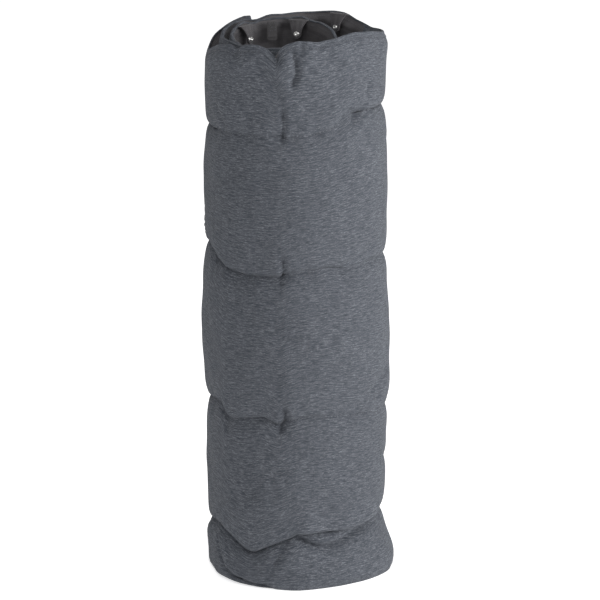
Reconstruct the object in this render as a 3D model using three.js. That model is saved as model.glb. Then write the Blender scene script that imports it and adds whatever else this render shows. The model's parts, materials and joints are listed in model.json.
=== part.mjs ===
// A camp quilt, rolled up and stood on its end.
// The quilt is two fabric panels with sewn channels of filling between them. It is rolled
// with the lining inwards, and the last turn ends in a loose flap. Three fabric tabs with
// press studs and a hanger tape are sewn to the lining just below the upper hem.
// Millimetres, +Z up, the origin under the middle of the roll on the ground.
import * as THREE from "three";

// ---- Driving dimensions ----------------------------------------------------------------

const rollRadius = 113; // to the outside of the last turn
const outerLoft = 16; // thickness of the quilt in the last turn
const innerLoft = 10; // and in the turns that it presses flat
const turnGap = 1.8; // air between one turn and the next
const coreShift = 20; // the inner turns sit this far to the left of the roll's middle
const looseness = 8; // the second turn bulges this far away from the third
const turns = 5.6; // from the free end to the inner end

const freeEndAngle = 112; // degrees, counter-clockwise from +X, seen from above
const stepsPerTurn = 20; // flat facets in one turn
const flapSteps = 3; // the loose flap is this many facets long
const flapGap = 0.4; // between the flap and the rest of the roll

const fabric = 0.8; // thickness of the shell and of the lining
const clearance = 0.3; // between pieces that touch

// Heights of the sewn channels, from the ground up. They make the quilt's width.
const hemChannel = 62;
const lowerChannel = 160;
const middleChannel = 196;
const upperChannel = 188;
const topChannel = 94;
const seamHeight = 2; // a row of quilting stitches
const hemHeight = 8; // the sewn edge at the top, at the bottom and at both ends

// The upper edge isn't level.
const leftDip = 22; // it hangs down at the left of the last turn
const innerLeftDip = 5; // and less in the turns inside it
const innerDrop = 7; // which stand lower than the last turn
const innerLeftRise = 5; // but for a swell at the left of the back
const frontRise = 8; // it stands up at the front right
const backRise = 7; // and at the back
const coreDrop = 48; // the inner turns have sunk below it

const tabRootWidth = 25;
const tabTipRadius = 6;
const tabLength = 23;
const tabThickness = 2;
const tabTilt = 11; // degrees that a tab leans away from the lining
const tabStandoff = 3; // between the lining and the root of a tab
const tabDrop = 2; // from the upper edge to the root of a tab

const studStemRadius = 1.5;
const studFlangeRadius = 3.6;
const studFlangeThickness = 0.7;
const studRingRadius = 2.6; // the raised ring that the socket closes over
const studRingHeight = 1.6;
const studDimpleRadius = 1.1;
const studDimpleDepth = 1.2;
const backingRadius = 3.6;
const backingThickness = 0.8;

const tapeWidth = 12;
const tapeLength = 23;
const tapeThickness = 1.6;

// Where each fastening hangs, in degrees round the core, and on which turn.
const tabPlaces = [
  { angle: 141, turn: 2 },
  { angle: 67, turn: 2 },
  { angle: 46, turn: 1 },
];
const tapePlace = { angle: 101, turn: 2 };

// ---- Dimensions worked out from them -----------------------------------------------------

const step = 1 / stepsPerTurn;
const flapEnd = flapSteps * step; // in turns from the free end
const diveStart = 0.82; // the last turn starts to slip under the flap
const diveEnd = 0.97;
const looseStart = 1.19; // on the left, where the second turn leaves the last one
const sinkStart = 2.15; // the upper edge starts to sink
const sinkEnd = 2.6;
const ringMid = rollRadius - outerLoft / 2;
const outerPitch = (outerLoft + innerLoft) / 2 + turnGap;
const innerPitch = innerLoft + turnGap;
const coreRadius = ringMid - coreShift - outerPitch;
const seams = [hemChannel, lowerChannel, middleChannel, upperChannel].map(
  (height, i, all) => all.slice(0, i + 1).reduce((sum, h) => sum + h),
);
const quiltWidth = seams[seams.length - 1] + topChannel;

const radians = THREE.MathUtils.degToRad;
const smooth = THREE.MathUtils.smoothstep;

// ---- The line that the quilt follows, seen from above -------------------------------------

// The direction from the core, in radians, at a distance in turns from the free end.
function direction(turn) {
  return radians(freeEndAngle + 360 * turn);
}

// How far the middle of the quilt is from the core at that distance.
function midRadius(turn) {
  const angle = direction(turn);
  if (turn <= looseStart) {
    const sideways = coreShift * Math.sin(angle);
    const ring = coreShift * Math.cos(angle) + Math.sqrt(ringMid ** 2 - sideways ** 2);
    return ring - outerPitch * smooth(turn, diveStart, diveEnd);
  }
  const along = Math.min(turn - looseStart, 1);
  const bulge = looseness * Math.sin(Math.PI * along) ** 2;
  return coreRadius - innerPitch * (turn - looseStart) + bulge;
}

// Half the thickness of the quilt there.
function halfLoft(turn) {
  return THREE.MathUtils.lerp(outerLoft, innerLoft, smooth(turn, diveStart, diveEnd)) / 2;
}

// A corner of the faceted roll, offset outwards from the middle of the quilt.
function corner(index, offset) {
  const turn = index * step;
  const radius = midRadius(turn) + offset(turn);
  const angle = direction(turn);
  return new THREE.Vector2(radius * Math.cos(angle) - coreShift, radius * Math.sin(angle));
}

// A point on the facet at any distance from the free end.
function pointOn(turn, offset) {
  const index = Math.min(Math.floor(turn / step + 1e-6), Math.round(turns / step) - 1);
  return corner(index, offset).lerp(corner(index + 1, offset), turn / step - index);
}

// The distance in turns of a place that is a length of quilt further in.
function further(turn, length) {
  const index = Math.floor(turn / step + 1e-6);
  const middle = () => 0;
  const facet = corner(index, middle).distanceTo(corner(index + 1, middle));
  return turn + (length * step) / facet;
}

// A smooth swell of the upper edge round an angle, from 0 to 1.
function swell(degrees, middle, spread) {
  return Math.exp(-(((degrees - middle) / spread) ** 2));
}

// The height of the quilt's upper edge.
function rim(turn) {
  const degrees = THREE.MathUtils.euclideanModulo(freeEndAngle + 360 * turn, 360);
  const inside = smooth(turn, diveStart, diveEnd);
  const dip = THREE.MathUtils.lerp(leftDip, innerLeftDip, inside);
  const rise = frontRise * (1 - inside);
  const level = quiltWidth - dip * swell(degrees, 180, 42) + rise * swell(degrees, 305, 28);
  const innerSwell = innerLeftRise * swell(degrees, 148, 22);
  const drop = (innerDrop - innerSwell) * inside + coreDrop * smooth(turn, sinkStart, sinkEnd);
  return level + backRise * swell(degrees, 75, 45) - drop;
}

// ---- Solids -------------------------------------------------------------------------------

// A closed solid with a four-sided section that follows the roll from one turn to another.
function strip({ from, to, inside, outside, low, high }) {
  const places = [from];
  for (let i = Math.floor(from / step + 1 + 1e-6); i * step < to - 1e-6; i++) {
    places.push(i * step);
  }
  places.push(to);
  const position = [];
  for (const turn of places) {
    const near = pointOn(turn, inside);
    const far = pointOn(turn, outside);
    position.push(near.x, near.y, low(turn), far.x, far.y, low(turn));
    position.push(far.x, far.y, high(turn), near.x, near.y, high(turn));
  }
  const index = [];
  // A low and a high face split along the same line, so that one strip can stand on another.
  for (let i = 0; i + 1 < places.length; i++) {
    for (let side = 0; side < 4; side++) {
      const a = 4 * i + side;
      const b = 4 * i + ((side + 1) % 4);
      const split = side < 2 ? [b + 4, a] : [a + 4, b];
      index.push(b, a, split[0], b + 4, split[1], a + 4);
    }
  }
  const last = 4 * (places.length - 1);
  index.push(0, 1, 2, 0, 2, 3);
  index.push(last, last + 2, last + 1, last, last + 3, last + 2);
  const geometry = new THREE.BufferGeometry();
  geometry.setAttribute("position", new THREE.Float32BufferAttribute(position, 3));
  geometry.setIndex(index);
  geometry.computeVertexNormals();
  return geometry;
}

const ground = () => 0;
const filling = (turn) => halfLoft(turn) - fabric - clearance;

function shellStrip(from, to) {
  const outside = halfLoft;
  const inside = (turn) => halfLoft(turn) - fabric;
  return strip({ from, to, inside, outside, low: ground, high: rim });
}

function liningStrip(from, to) {
  const outside = (turn) => fabric - halfLoft(turn);
  const inside = (turn) => -halfLoft(turn);
  return strip({ from, to, inside, outside, low: ground, high: rim });
}

// Filling, stitches and seams lie between the two fabrics.
function betweenStrip(from, to, low, high) {
  const inside = (turn) => -filling(turn);
  return strip({ from, to, inside, outside: filling, low, high });
}

// A fabric tab that hangs from its sewn root, with a hole for the stud near its tip.
function tabGeometry() {
  const half = tabRootWidth / 2;
  const tip = new THREE.Vector2(0, tabTipRadius - tabLength);
  const waist = (half + tabTipRadius) / 2;
  const outline = new THREE.Shape();
  outline.moveTo(-half, 0);
  outline.quadraticCurveTo(-waist, tip.y / 3, -tabTipRadius, tip.y);
  outline.absarc(tip.x, tip.y, tabTipRadius, Math.PI, 2 * Math.PI, false);
  outline.quadraticCurveTo(waist, tip.y / 3, half, 0);
  outline.closePath();
  const hole = new THREE.Path();
  hole.absarc(tip.x, tip.y, studStemRadius + clearance, 0, 2 * Math.PI, true);
  outline.holes.push(hole);
  const depth = tabThickness;
  return new THREE.ExtrudeGeometry(outline, { depth, bevelEnabled: false, curveSegments: 6 });
}

// A turned piece whose axis is the local +Z, from pairs of radius and height.
function turned(profile) {
  const points = profile.map(([radius, height]) => new THREE.Vector2(radius, height));
  return new THREE.LatheGeometry(points, 16).rotateX(Math.PI / 2);
}

// The stud: a stem through the tab, a flange, and a raised ring with a dimple.
function studGeometry() {
  const face = tabThickness + clearance;
  const top = face + studFlangeThickness;
  return turned([
    [0, -backingThickness - clearance],
    [studStemRadius, -backingThickness - clearance],
    [studStemRadius, face],
    [studFlangeRadius, face],
    [studFlangeRadius, top],
    [studRingRadius, top],
    [studRingRadius, top + studRingHeight],
    [studDimpleRadius, top + studRingHeight],
    [studDimpleRadius, top + studRingHeight - studDimpleDepth],
    [0, top + studRingHeight - studDimpleDepth],
  ]);
}

// The ring on the back of the tab, round the end of the stem.
function backingGeometry() {
  const bore = studStemRadius + clearance;
  const low = -backingThickness - clearance;
  return turned([
    [bore, low],
    [backingRadius, low],
    [backingRadius, -clearance],
    [bore, -clearance],
    [bore, low],
  ]);
}

// ---- Materials ------------------------------------------------------------------------------

function finish(color, roughness, metalness = 0) {
  return new THREE.MeshStandardMaterial({ color, roughness, metalness });
}

const heather = finish(0x5a5d63, 0.95);
const charcoal = finish(0x3d3c3e, 0.75);
const batting = finish(0xd9d8d2, 1);
const thread = finish(0x4c4f55, 0.8);
const webbing = finish(0x444346, 0.85);
const nickel = finish(0xd4d4d2, 0.3, 1);

// ---- Assembly -------------------------------------------------------------------------------

const quilt = new THREE.Group();

function add(parent, name, geometry, material) {
  const mesh = new THREE.Mesh(geometry, material);
  mesh.name = name;
  parent.add(mesh);
}

// One length of quilt: both fabrics, the filling of each channel, and every seam in it.
// `prefix` starts each name, and `sewnFrom` and `sewnTo` leave room for a seam at an end.
function addQuilt(prefix, from, to, sewnFrom, sewnTo) {
  add(quilt, `${prefix}_shell`, shellStrip(from, to), heather);
  add(quilt, `${prefix}_lining`, liningStrip(from, to), charcoal);
  const bottom = [hemHeight, ...seams.map((seam) => seam + seamHeight / 2)];
  const top = seams.map((seam) => () => seam - seamHeight / 2 - clearance);
  top.push((turn) => rim(turn) - hemHeight - clearance);
  bottom.forEach((floor, i) => {
    const low = () => floor + clearance;
    const pad = betweenStrip(sewnFrom, sewnTo, low, top[i]);
    add(quilt, `${prefix}_filling_${i + 1}`, pad, batting);
  });
  seams.forEach((seam, i) => {
    const low = () => seam - seamHeight / 2;
    const high = () => seam + seamHeight / 2;
    const row = betweenStrip(sewnFrom, sewnTo, low, high);
    add(quilt, `${prefix}_quilting_${i + 1}`, row, thread);
  });
  const hem = betweenStrip(sewnFrom, sewnTo, ground, () => hemHeight);
  add(quilt, `${prefix}_bottom_hem`, hem, thread);
  const upper = betweenStrip(sewnFrom, sewnTo, (turn) => rim(turn) - hemHeight, rim);
  add(quilt, `${prefix}_top_hem`, upper, thread);
}

const outerSeam = further(0, hemHeight);
const innerSeam = turns - step;
const rollStart = further(flapEnd, flapGap);
addQuilt("flap", 0, flapEnd, further(outerSeam, clearance), flapEnd);
addQuilt("roll", rollStart, turns, rollStart, further(innerSeam, -clearance));
add(quilt, "flap_end_seam", betweenStrip(0, outerSeam, ground, rim), thread);
add(quilt, "roll_end_seam", betweenStrip(innerSeam, turns, ground, rim), thread);

// A frame on the lining at a place: +X along the wall, +Y up, +Z away from the wall.
function hangingFrame({ angle, turn }) {
  const place = (angle - freeEndAngle) / 360 + turn;
  const face = (t) => -halfLoft(t);
  const wall = pointOn(place, face);
  const flat = pointOn(place - step / 2, face).sub(pointOn(place + step / 2, face)).normalize();
  const along = new THREE.Vector3(flat.x, flat.y, 0);
  const up = new THREE.Vector3(0, 0, 1);
  const inwards = new THREE.Vector3().crossVectors(along, up);
  const frame = new THREE.Group();
  frame.matrixAutoUpdate = false;
  frame.matrix.makeBasis(along, up, inwards);
  frame.matrix.setPosition(
    new THREE.Vector3(wall.x, wall.y, rim(place) - tabDrop).addScaledVector(inwards, tabStandoff),
  );
  const leaning = new THREE.Group();
  leaning.rotation.x = -radians(tabTilt);
  frame.add(leaning);
  quilt.add(frame);
  return leaning;
}

tabPlaces.forEach((place, i) => {
  const frame = hangingFrame(place);
  add(frame, `snap_tab_${i + 1}`, tabGeometry(), webbing);
  const snap = new THREE.Group();
  snap.position.y = tabTipRadius - tabLength;
  frame.add(snap);
  add(snap, `snap_stud_${i + 1}`, studGeometry(), nickel);
  add(snap, `snap_backing_${i + 1}`, backingGeometry(), nickel);
});

const tape = new THREE.BoxGeometry(tapeWidth, tapeLength, tapeThickness);
tape.translate(0, -tapeLength / 2, tapeThickness / 2);
add(hangingFrame(tapePlace), "hanger_tape", tape, webbing);

// The origin is under the middle of the whole, so the group is moved there.
quilt.updateMatrixWorld(true);
const box = new THREE.Box3().setFromObject(quilt);
const middle = box.getCenter(new THREE.Vector3());
quilt.position.set(-middle.x, -middle.y, -box.min.z);

export default quilt;
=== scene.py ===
"""A camp quilt, rolled up and stood on its end.

The quilt is a heathered shell and a charcoal lining with sewn channels of batting between
them. It is rolled with the lining inwards, and the last turn ends in a loose flap. Three snap
tabs and a hanger tape are sewn to the lining just below the upper hem. Sizes are in metres.
"""

import json
import logging
import math
from dataclasses import dataclass, field
from enum import Enum
from typing import Any, Callable, Iterable, Optional, Sequence, Union

import bpy
import numpy as np
from mathutils import Matrix, Vector


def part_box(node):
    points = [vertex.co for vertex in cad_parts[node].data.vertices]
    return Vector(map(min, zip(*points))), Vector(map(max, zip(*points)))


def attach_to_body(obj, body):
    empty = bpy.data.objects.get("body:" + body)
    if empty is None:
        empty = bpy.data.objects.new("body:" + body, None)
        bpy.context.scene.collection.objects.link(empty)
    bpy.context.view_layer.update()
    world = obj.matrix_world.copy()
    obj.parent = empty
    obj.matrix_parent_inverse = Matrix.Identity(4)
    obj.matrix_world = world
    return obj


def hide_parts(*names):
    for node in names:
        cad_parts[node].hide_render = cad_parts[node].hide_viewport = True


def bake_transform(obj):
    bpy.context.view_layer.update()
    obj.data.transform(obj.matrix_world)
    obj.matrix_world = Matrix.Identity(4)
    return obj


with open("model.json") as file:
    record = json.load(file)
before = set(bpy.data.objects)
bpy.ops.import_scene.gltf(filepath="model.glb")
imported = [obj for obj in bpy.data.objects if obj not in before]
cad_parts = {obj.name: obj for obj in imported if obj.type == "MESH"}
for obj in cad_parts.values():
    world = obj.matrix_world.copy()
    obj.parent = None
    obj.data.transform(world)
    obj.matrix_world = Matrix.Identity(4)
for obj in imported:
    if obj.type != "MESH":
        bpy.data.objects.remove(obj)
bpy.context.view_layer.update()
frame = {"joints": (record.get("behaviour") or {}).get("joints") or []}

log = logging.getLogger("camp_quilt")

Array = np.ndarray
FULL_TURN = 360.0

# Where the last turn's shell passes under its own free end, in turns from it.
LAST_TURN_ENDS = 1.06


# ---- Shader graphs -------------------------------------------------------------------------


class Value:
    """One output socket, on which Python's operators add Math nodes."""

    def __init__(self, graph: "Graph", socket: bpy.types.NodeSocket) -> None:
        """Wrap a socket.

        Args:
            graph: The graph that new nodes go into.
            socket: The output socket.
        """
        self.graph = graph
        self.socket = socket

    def _math(self, operation: str, first: Any, second: Any = 0.0) -> "Value":
        """Add a Math node and return its result."""
        return self.graph.node("ShaderNodeMath", {"operation": operation}, {0: first, 1: second})

    def __add__(self, other: Any) -> "Value":
        """The sum."""
        return self._math("ADD", self, other)

    def __sub__(self, other: Any) -> "Value":
        """The difference."""
        return self._math("SUBTRACT", self, other)

    def __mul__(self, other: Any) -> "Value":
        """The product."""
        return self._math("MULTIPLY", self, other)

    def __rsub__(self, other: Any) -> "Value":
        """The difference from a number on the left."""
        return self._math("SUBTRACT", other, self)

    __radd__ = __add__
    __rmul__ = __mul__

    def sine(self) -> "Value":
        """The sine of this value in radians."""
        return self._math("SINE", self)

    def between(self, low: float, high: float) -> "Value":
        """A smooth step from 0 at low to 1 at high.

        Args:
            low: The value that gives 0.
            high: The value that gives 1.

        Returns:
            The share, held from 0 to 1.
        """
        settings = {"interpolation_type": "SMOOTHSTEP"}
        places = {"Value": self, "From Min": low, "From Max": high, "To Min": 0.0, "To Max": 1.0}
        return self.graph.node("ShaderNodeMapRange", settings, places)


class Graph:
    """A new material's node tree, and the ways to add to it."""

    def __init__(self, name: str) -> None:
        """Make a material with an empty tree.

        Args:
            name: The material's name.
        """
        self.material = bpy.data.materials.new(name)
        self.material.use_nodes = True
        self.tree = self.material.node_tree
        self.tree.nodes.clear()

    def node(
        self,
        kind: str,
        settings: Optional[dict[str, Any]] = None,
        sockets: Optional[dict[Any, Any]] = None,
        out: Union[int, str] = 0,
    ) -> Value:
        """Add a node.

        Args:
            kind: The node's type.
            settings: Its properties, which are set before its sockets.
            sockets: A number, colour or Value for each input, by name or index.
            out: The output that is wanted, by name or index.

        Returns:
            The wanted output.
        """
        made = self.tree.nodes.new(kind)
        for key, setting in (settings or {}).items():
            setattr(made, key, setting)
        for key, given in (sockets or {}).items():
            if isinstance(given, Value):
                self.tree.links.new(given.socket, made.inputs[key])
            else:
                made.inputs[key].default_value = given
        return Value(self, made.outputs[out])

    def cloth_uv(self, along: float, up: float) -> Value:
        """The piece's UV map, in metres of cloth, times a frequency each way.

        Args:
            along: Repeats in a metre along the first direction.
            up: Repeats in a metre along the second direction.

        Returns:
            The scaled coordinates.
        """
        uv = self.node("ShaderNodeUVMap", {"uv_map": "cloth"})
        scale = {0: uv, 1: (along, up, 1.0)}
        return self.node("ShaderNodeVectorMath", {"operation": "MULTIPLY"}, scale)

    def object_place(self, scale: float) -> Value:
        """Object coordinates times a number.

        Args:
            scale: Repeats in a metre.

        Returns:
            The scaled coordinates.
        """
        place = self.node("ShaderNodeTexCoord", out="Object")
        settings = {"operation": "SCALE"}
        return self.node("ShaderNodeVectorMath", settings, {0: place, "Scale": scale})

    def noise(self, vector: Value, detail: float = 2.0, rough: float = 0.5) -> Value:
        """Noise from 0 to 1.

        Args:
            vector: Where it is read.
            detail: Its octaves.
            rough: The strength of each octave over the one before.

        Returns:
            The noise value.
        """
        places = {"Vector": vector, "Scale": 1.0, "Detail": detail, "Roughness": rough}
        return self.node("ShaderNodeTexNoise", {"noise_dimensions": "3D"}, places, out=0)

    def mix(self, factor: Value, first: Sequence[float], second: Any) -> Value:
        """A mix of two colours.

        Args:
            factor: 0 for the first and 1 for the second.
            first: A colour or a Value that holds one.
            second: The other.

        Returns:
            The mixed colour.
        """
        settings = {"data_type": "RGBA", "clamp_factor": True}
        return self.node("ShaderNodeMix", settings, {0: factor, 6: first, 7: second}, out=2)

    def bump(self, height: Value, strength: float, distance: float) -> Value:
        """A normal bent by a height.

        Args:
            height: The height, from 0 to 1.
            strength: How much of it shows.
            distance: The height in metres that 1 stands for.

        Returns:
            The bent normal.
        """
        places = {"Height": height, "Strength": strength, "Distance": distance}
        return self.node("ShaderNodeBump", sockets=places)

    def finish(self, fixed: dict[str, Any], varied: dict[str, Value]) -> bpy.types.Material:
        """Add the surface shader and the output.

        Args:
            fixed: Numbers and colours for the shader's own sockets.
            varied: What changes over the surface.

        Returns:
            The material.
        """
        surface = self.node("ShaderNodeBsdfPrincipled", sockets={**fixed, **varied})
        self.node_output(surface)
        return self.material

    def node_output(self, surface: Value) -> None:
        """Add the output node."""
        made = self.tree.nodes.new("ShaderNodeOutputMaterial")
        self.tree.links.new(surface.socket, made.inputs["Surface"])


Colour = tuple[float, float, float, float]


@dataclass(frozen=True)
class HeatherCloth:
    """A brushed cloth of mixed light and dark yarns that run along the quilt."""

    dark: Colour = (0.042, 0.047, 0.057, 1.0)
    middle: Colour = (0.090, 0.097, 0.112, 1.0)
    light: Colour = (0.188, 0.196, 0.215, 1.0)
    streak_length: float = 0.0052
    streak_height: float = 0.00075
    yarn: float = 0.0009

    def make(self) -> bpy.types.Material:
        """Build the material.

        Returns:
            The material.
        """
        g = Graph("heather_cloth")
        streaks = g.noise(g.cloth_uv(1 / self.streak_length, 1 / self.streak_height), 3.0, 0.62)
        slubs = g.noise(
            g.cloth_uv(0.42 / self.streak_length, 0.45 / self.streak_height), 2.0, 0.55
        )
        fleck = g.noise(g.cloth_uv(2.2 / self.streak_length, 1.2 / self.streak_height), 1.0)
        mottle = g.noise(g.cloth_uv(26.0, 34.0), 3.0)
        mixed = streaks * 0.58 + slubs * 0.42
        ground = g.mix(mixed.between(0.36, 0.60), self.dark, self.middle)
        flecked = g.mix((mixed * 0.62 + fleck * 0.38).between(0.50, 0.66), ground, self.light)
        shade = g.mix(mottle.between(0.3, 0.7) * 0.20, flecked, self.dark)
        rib = g.cloth_uv(2 * math.pi / self.yarn, 2 * math.pi / self.yarn)
        parts = g.node("ShaderNodeSeparateXYZ", sockets={0: rib})
        up = Value(g, parts.socket.node.outputs[1])
        weave = (parts.sine() * up.sine()) * 0.22 + streaks * 0.55 + slubs * 0.3
        normal = g.bump(weave, 0.8, 0.0006)
        rough = streaks * -0.10 + 0.97
        fixed = {"Sheen Weight": 0.05, "Sheen Roughness": 0.5, "Specular IOR Level": 0.12}
        return g.finish(fixed, {"Base Color": shade, "Normal": normal, "Roughness": rough})


@dataclass(frozen=True)
class PlainCloth:
    """A tightly woven lining of one colour with a slight sheen."""

    name: str = "charcoal_lining"
    base: Colour = (0.054, 0.051, 0.055, 1.0)
    bright: Colour = (0.092, 0.088, 0.093, 1.0)
    thread: float = 0.0007
    roughness: float = 0.62

    def make(self) -> bpy.types.Material:
        """Build the material.

        Returns:
            The material.
        """
        g = Graph(self.name)
        rib = g.cloth_uv(2 * math.pi / self.thread, 2 * math.pi / self.thread)
        parts = g.node("ShaderNodeSeparateXYZ", sockets={0: rib})
        up = Value(g, parts.socket.node.outputs[1])
        weave = parts.sine() * up.sine()
        worn = g.noise(g.cloth_uv(60.0, 60.0), 4.0, 0.6)
        yarns = g.noise(g.cloth_uv(90.0, 1100.0), 2.0)
        tone = (weave * 0.18 + worn * 0.5 + yarns * 0.5).between(0.25, 0.85)
        colour = g.mix(tone, self.base, self.bright)
        normal = g.bump(weave * 0.35 + yarns * 0.3 + worn * 0.35, 0.5, 0.0004)
        rough = worn * 0.16 + (self.roughness - 0.08)
        fixed = {"Sheen Weight": 0.12, "Sheen Roughness": 0.4, "Specular IOR Level": 0.35}
        return g.finish(fixed, {"Base Color": colour, "Normal": normal, "Roughness": rough})


@dataclass(frozen=True)
class RibbedTape:
    """A woven tape with ribs across it, for the tabs and the hanger."""

    base: Colour = (0.034, 0.032, 0.034, 1.0)
    bright: Colour = (0.066, 0.063, 0.067, 1.0)
    rib: float = 0.0009

    def make(self) -> bpy.types.Material:
        """Build the material.

        Returns:
            The material.
        """
        g = Graph("ribbed_tape")
        wave = g.cloth_uv(0.9 * math.pi / self.rib, 2 * math.pi / self.rib)
        parts = g.node("ShaderNodeSeparateXYZ", sockets={0: wave})
        up = Value(g, parts.socket.node.outputs[1])
        ribs = up.sine() * 0.5 + (parts.sine() * up.sine()) * 0.3
        fuzz = g.noise(g.cloth_uv(900.0, 900.0), 3.0, 0.65)
        colour = g.mix((ribs * 0.3 + fuzz * 0.7).between(0.2, 0.8), self.base, self.bright)
        normal = g.bump(ribs * 0.5 + fuzz * 0.4, 0.7, 0.0003)
        rough = fuzz * 0.2 + 0.68
        fixed = {"Sheen Weight": 0.15, "Sheen Roughness": 0.5}
        return g.finish(fixed, {"Base Color": colour, "Normal": normal, "Roughness": rough})


@dataclass(frozen=True)
class SewingThread:
    """A twisted polyester thread."""

    name: str = "sewing_thread"
    dark: Colour = (0.040, 0.043, 0.050, 1.0)
    light: Colour = (0.125, 0.132, 0.150, 1.0)

    def make(self) -> bpy.types.Material:
        """Build the material.

        Returns:
            The material.
        """
        g = Graph(self.name)
        twist = g.noise(g.object_place(2600.0), 2.0)
        fuzz = g.noise(g.object_place(700.0), 3.0)
        colour = g.mix((twist * 0.6 + fuzz * 0.4).between(0.3, 0.7), self.dark, self.light)
        normal = g.bump(twist, 0.6, 0.00012)
        rough = fuzz * 0.25 + 0.5
        fixed = {"Sheen Weight": 0.2, "Specular IOR Level": 0.4}
        return g.finish(fixed, {"Base Color": colour, "Normal": normal, "Roughness": rough})


@dataclass(frozen=True)
class LooseBatting:
    """White synthetic fibre filling."""

    dull: Colour = (0.46, 0.45, 0.42, 1.0)
    clean: Colour = (0.80, 0.79, 0.76, 1.0)

    def make(self) -> bpy.types.Material:
        """Build the material.

        Returns:
            The material.
        """
        g = Graph("loose_batting")
        tufts = g.noise(g.object_place(70.0), 5.0, 0.65)
        fibres = g.noise(g.object_place(900.0), 4.0, 0.7)
        colour = g.mix((tufts * 0.6 + fibres * 0.4).between(0.3, 0.7), self.dull, self.clean)
        normal = g.bump(tufts * 0.6 + fibres * 0.4, 0.9, 0.0012)
        rough = fibres * 0.1 + 0.88
        fixed = {"Sheen Weight": 0.4, "Sheen Roughness": 0.6}
        return g.finish(fixed, {"Base Color": colour, "Normal": normal, "Roughness": rough})


@dataclass(frozen=True)
class NickelPlate:
    """Bright nickel plate with fine handling marks."""

    bright: Colour = (0.86, 0.86, 0.85, 1.0)
    dull: Colour = (0.62, 0.61, 0.59, 1.0)

    def make(self) -> bpy.types.Material:
        """Build the material.

        Returns:
            The material.
        """
        g = Graph("nickel_plate")
        marks = g.noise(g.object_place(1500.0), 4.0, 0.7)
        stain = g.noise(g.object_place(380.0), 3.0)
        colour = g.mix(stain.between(0.35, 0.8), self.bright, self.dull)
        normal = g.bump(marks, 0.12, 0.0001)
        rough = marks * 0.16 + 0.22
        return g.finish({"Metallic": 1.0}, {"Base Color": colour, "Normal": normal, "Roughness": rough})


@dataclass(frozen=True)
class StudioPaper:
    """Plain pale paper that is lit from behind."""

    glow: float = 0.64

    def make(self) -> bpy.types.Material:
        """Build the material.

        Returns:
            The material.
        """
        g = Graph("studio_paper")
        grain = g.noise(g.object_place(40.0), 3.0)
        colour = g.mix(grain * 0.08, (0.93, 0.93, 0.93, 1.0), (0.86, 0.86, 0.86, 1.0))
        fixed = {"Roughness": 0.95, "Specular IOR Level": 0.1, "Emission Strength": self.glow}
        fixed["Emission Color"] = (1.0, 1.0, 1.0, 1.0)
        return g.finish(fixed, {"Base Color": colour})


@dataclass(frozen=True)
class Finishes:
    """Every material of the quilt, made once."""

    shell: bpy.types.Material
    lining: bpy.types.Material
    tape: bpy.types.Material
    thread: bpy.types.Material
    batting: bpy.types.Material
    nickel: bpy.types.Material

    @classmethod
    def make(cls) -> "Finishes":
        """Make them all."""
        return cls(
            shell=HeatherCloth().make(),
            lining=PlainCloth().make(),
            tape=RibbedTape().make(),
            thread=SewingThread().make(),
            batting=LooseBatting().make(),
            nickel=NickelPlate().make(),
        )


# ---- Numbers on a grid -----------------------------------------------------------------------


def smoothstep(x: Array, low: float, high: float) -> Array:
    """A smooth step from 0 at low to 1 at high."""
    t = np.clip((np.asarray(x, float) - low) / (high - low), 0.0, 1.0)
    return t * t * (3.0 - 2.0 * t)


def swell(x: Array, middle: float, spread: float) -> Array:
    """A smooth swell round a middle, from 0 to 1."""
    return np.exp(-(((np.asarray(x, float) - middle) / spread) ** 2))


def wobble(x: Array, waves: Sequence[tuple[float, float, float]]) -> Array:
    """A sum of sines.

    Args:
        x: Where it is read.
        waves: Height, frequency and phase of each.

    Returns:
        The sum at each place.
    """
    return sum(height * np.sin(rate * np.asarray(x, float) + phase) for height, rate, phase in waves)


def grid_normals(points: Array) -> Array:
    """Unit normals of a grid of points, as first direction cross second direction.

    Args:
        points: The grid of points.

    Returns:
        A unit normal for each point.
    """
    along = np.gradient(points, axis=0)
    across = np.gradient(points, axis=1)
    normal = np.cross(along, across)
    return normal / np.maximum(np.linalg.norm(normal, axis=2, keepdims=True), 1e-12)


def grid_faces(rows: int, columns: int, first: int, turned: bool) -> list[tuple[int, ...]]:
    """The quads of one layer of a grid.

    Args:
        rows: Points along the first direction.
        columns: Points along the second direction.
        first: The number of the layer's first vertex.
        turned: Whether the faces look against the grid's normals.

    Returns:
        The faces.
    """
    i, j = np.meshgrid(np.arange(rows - 1), np.arange(columns - 1), indexing="ij")
    a = (first + i * columns + j).ravel()
    quads = np.stack([a, a + columns, a + columns + 1, a + 1], axis=1)
    return [tuple(q) for q in (quads[:, ::-1] if turned else quads).tolist()]


def border(rows: int, columns: int) -> list[int]:
    """The vertices round a grid's edge, in order.

    Args:
        rows: The number of rows.
        columns: The number of columns.

    Returns:
        The indices round the grid, in order.
    """
    top = [i * columns for i in range(rows)]
    right = [(rows - 1) * columns + j for j in range(1, columns)]
    bottom = [i * columns + columns - 1 for i in range(rows - 2, -1, -1)]
    left = list(range(columns - 2, 0, -1))
    return top + right + bottom + left


def new_mesh_object(
    name: str, points: Array, faces: Iterable[Sequence[int]], material: bpy.types.Material
) -> bpy.types.Object:
    """Make an object at the origin.

    Args:
        name: The piece's name.
        points: Its vertices.
        faces: Its faces.
        material: Its one material.

    Returns:
        The object, in the scene.
    """
    mesh = bpy.data.meshes.new(name)
    mesh.from_pydata(np.asarray(points).reshape(-1, 3).tolist(), [], list(faces))
    mesh.materials.append(material)
    made = bpy.data.objects.new(name, mesh)
    bpy.context.scene.collection.objects.link(made)
    return made


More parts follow.
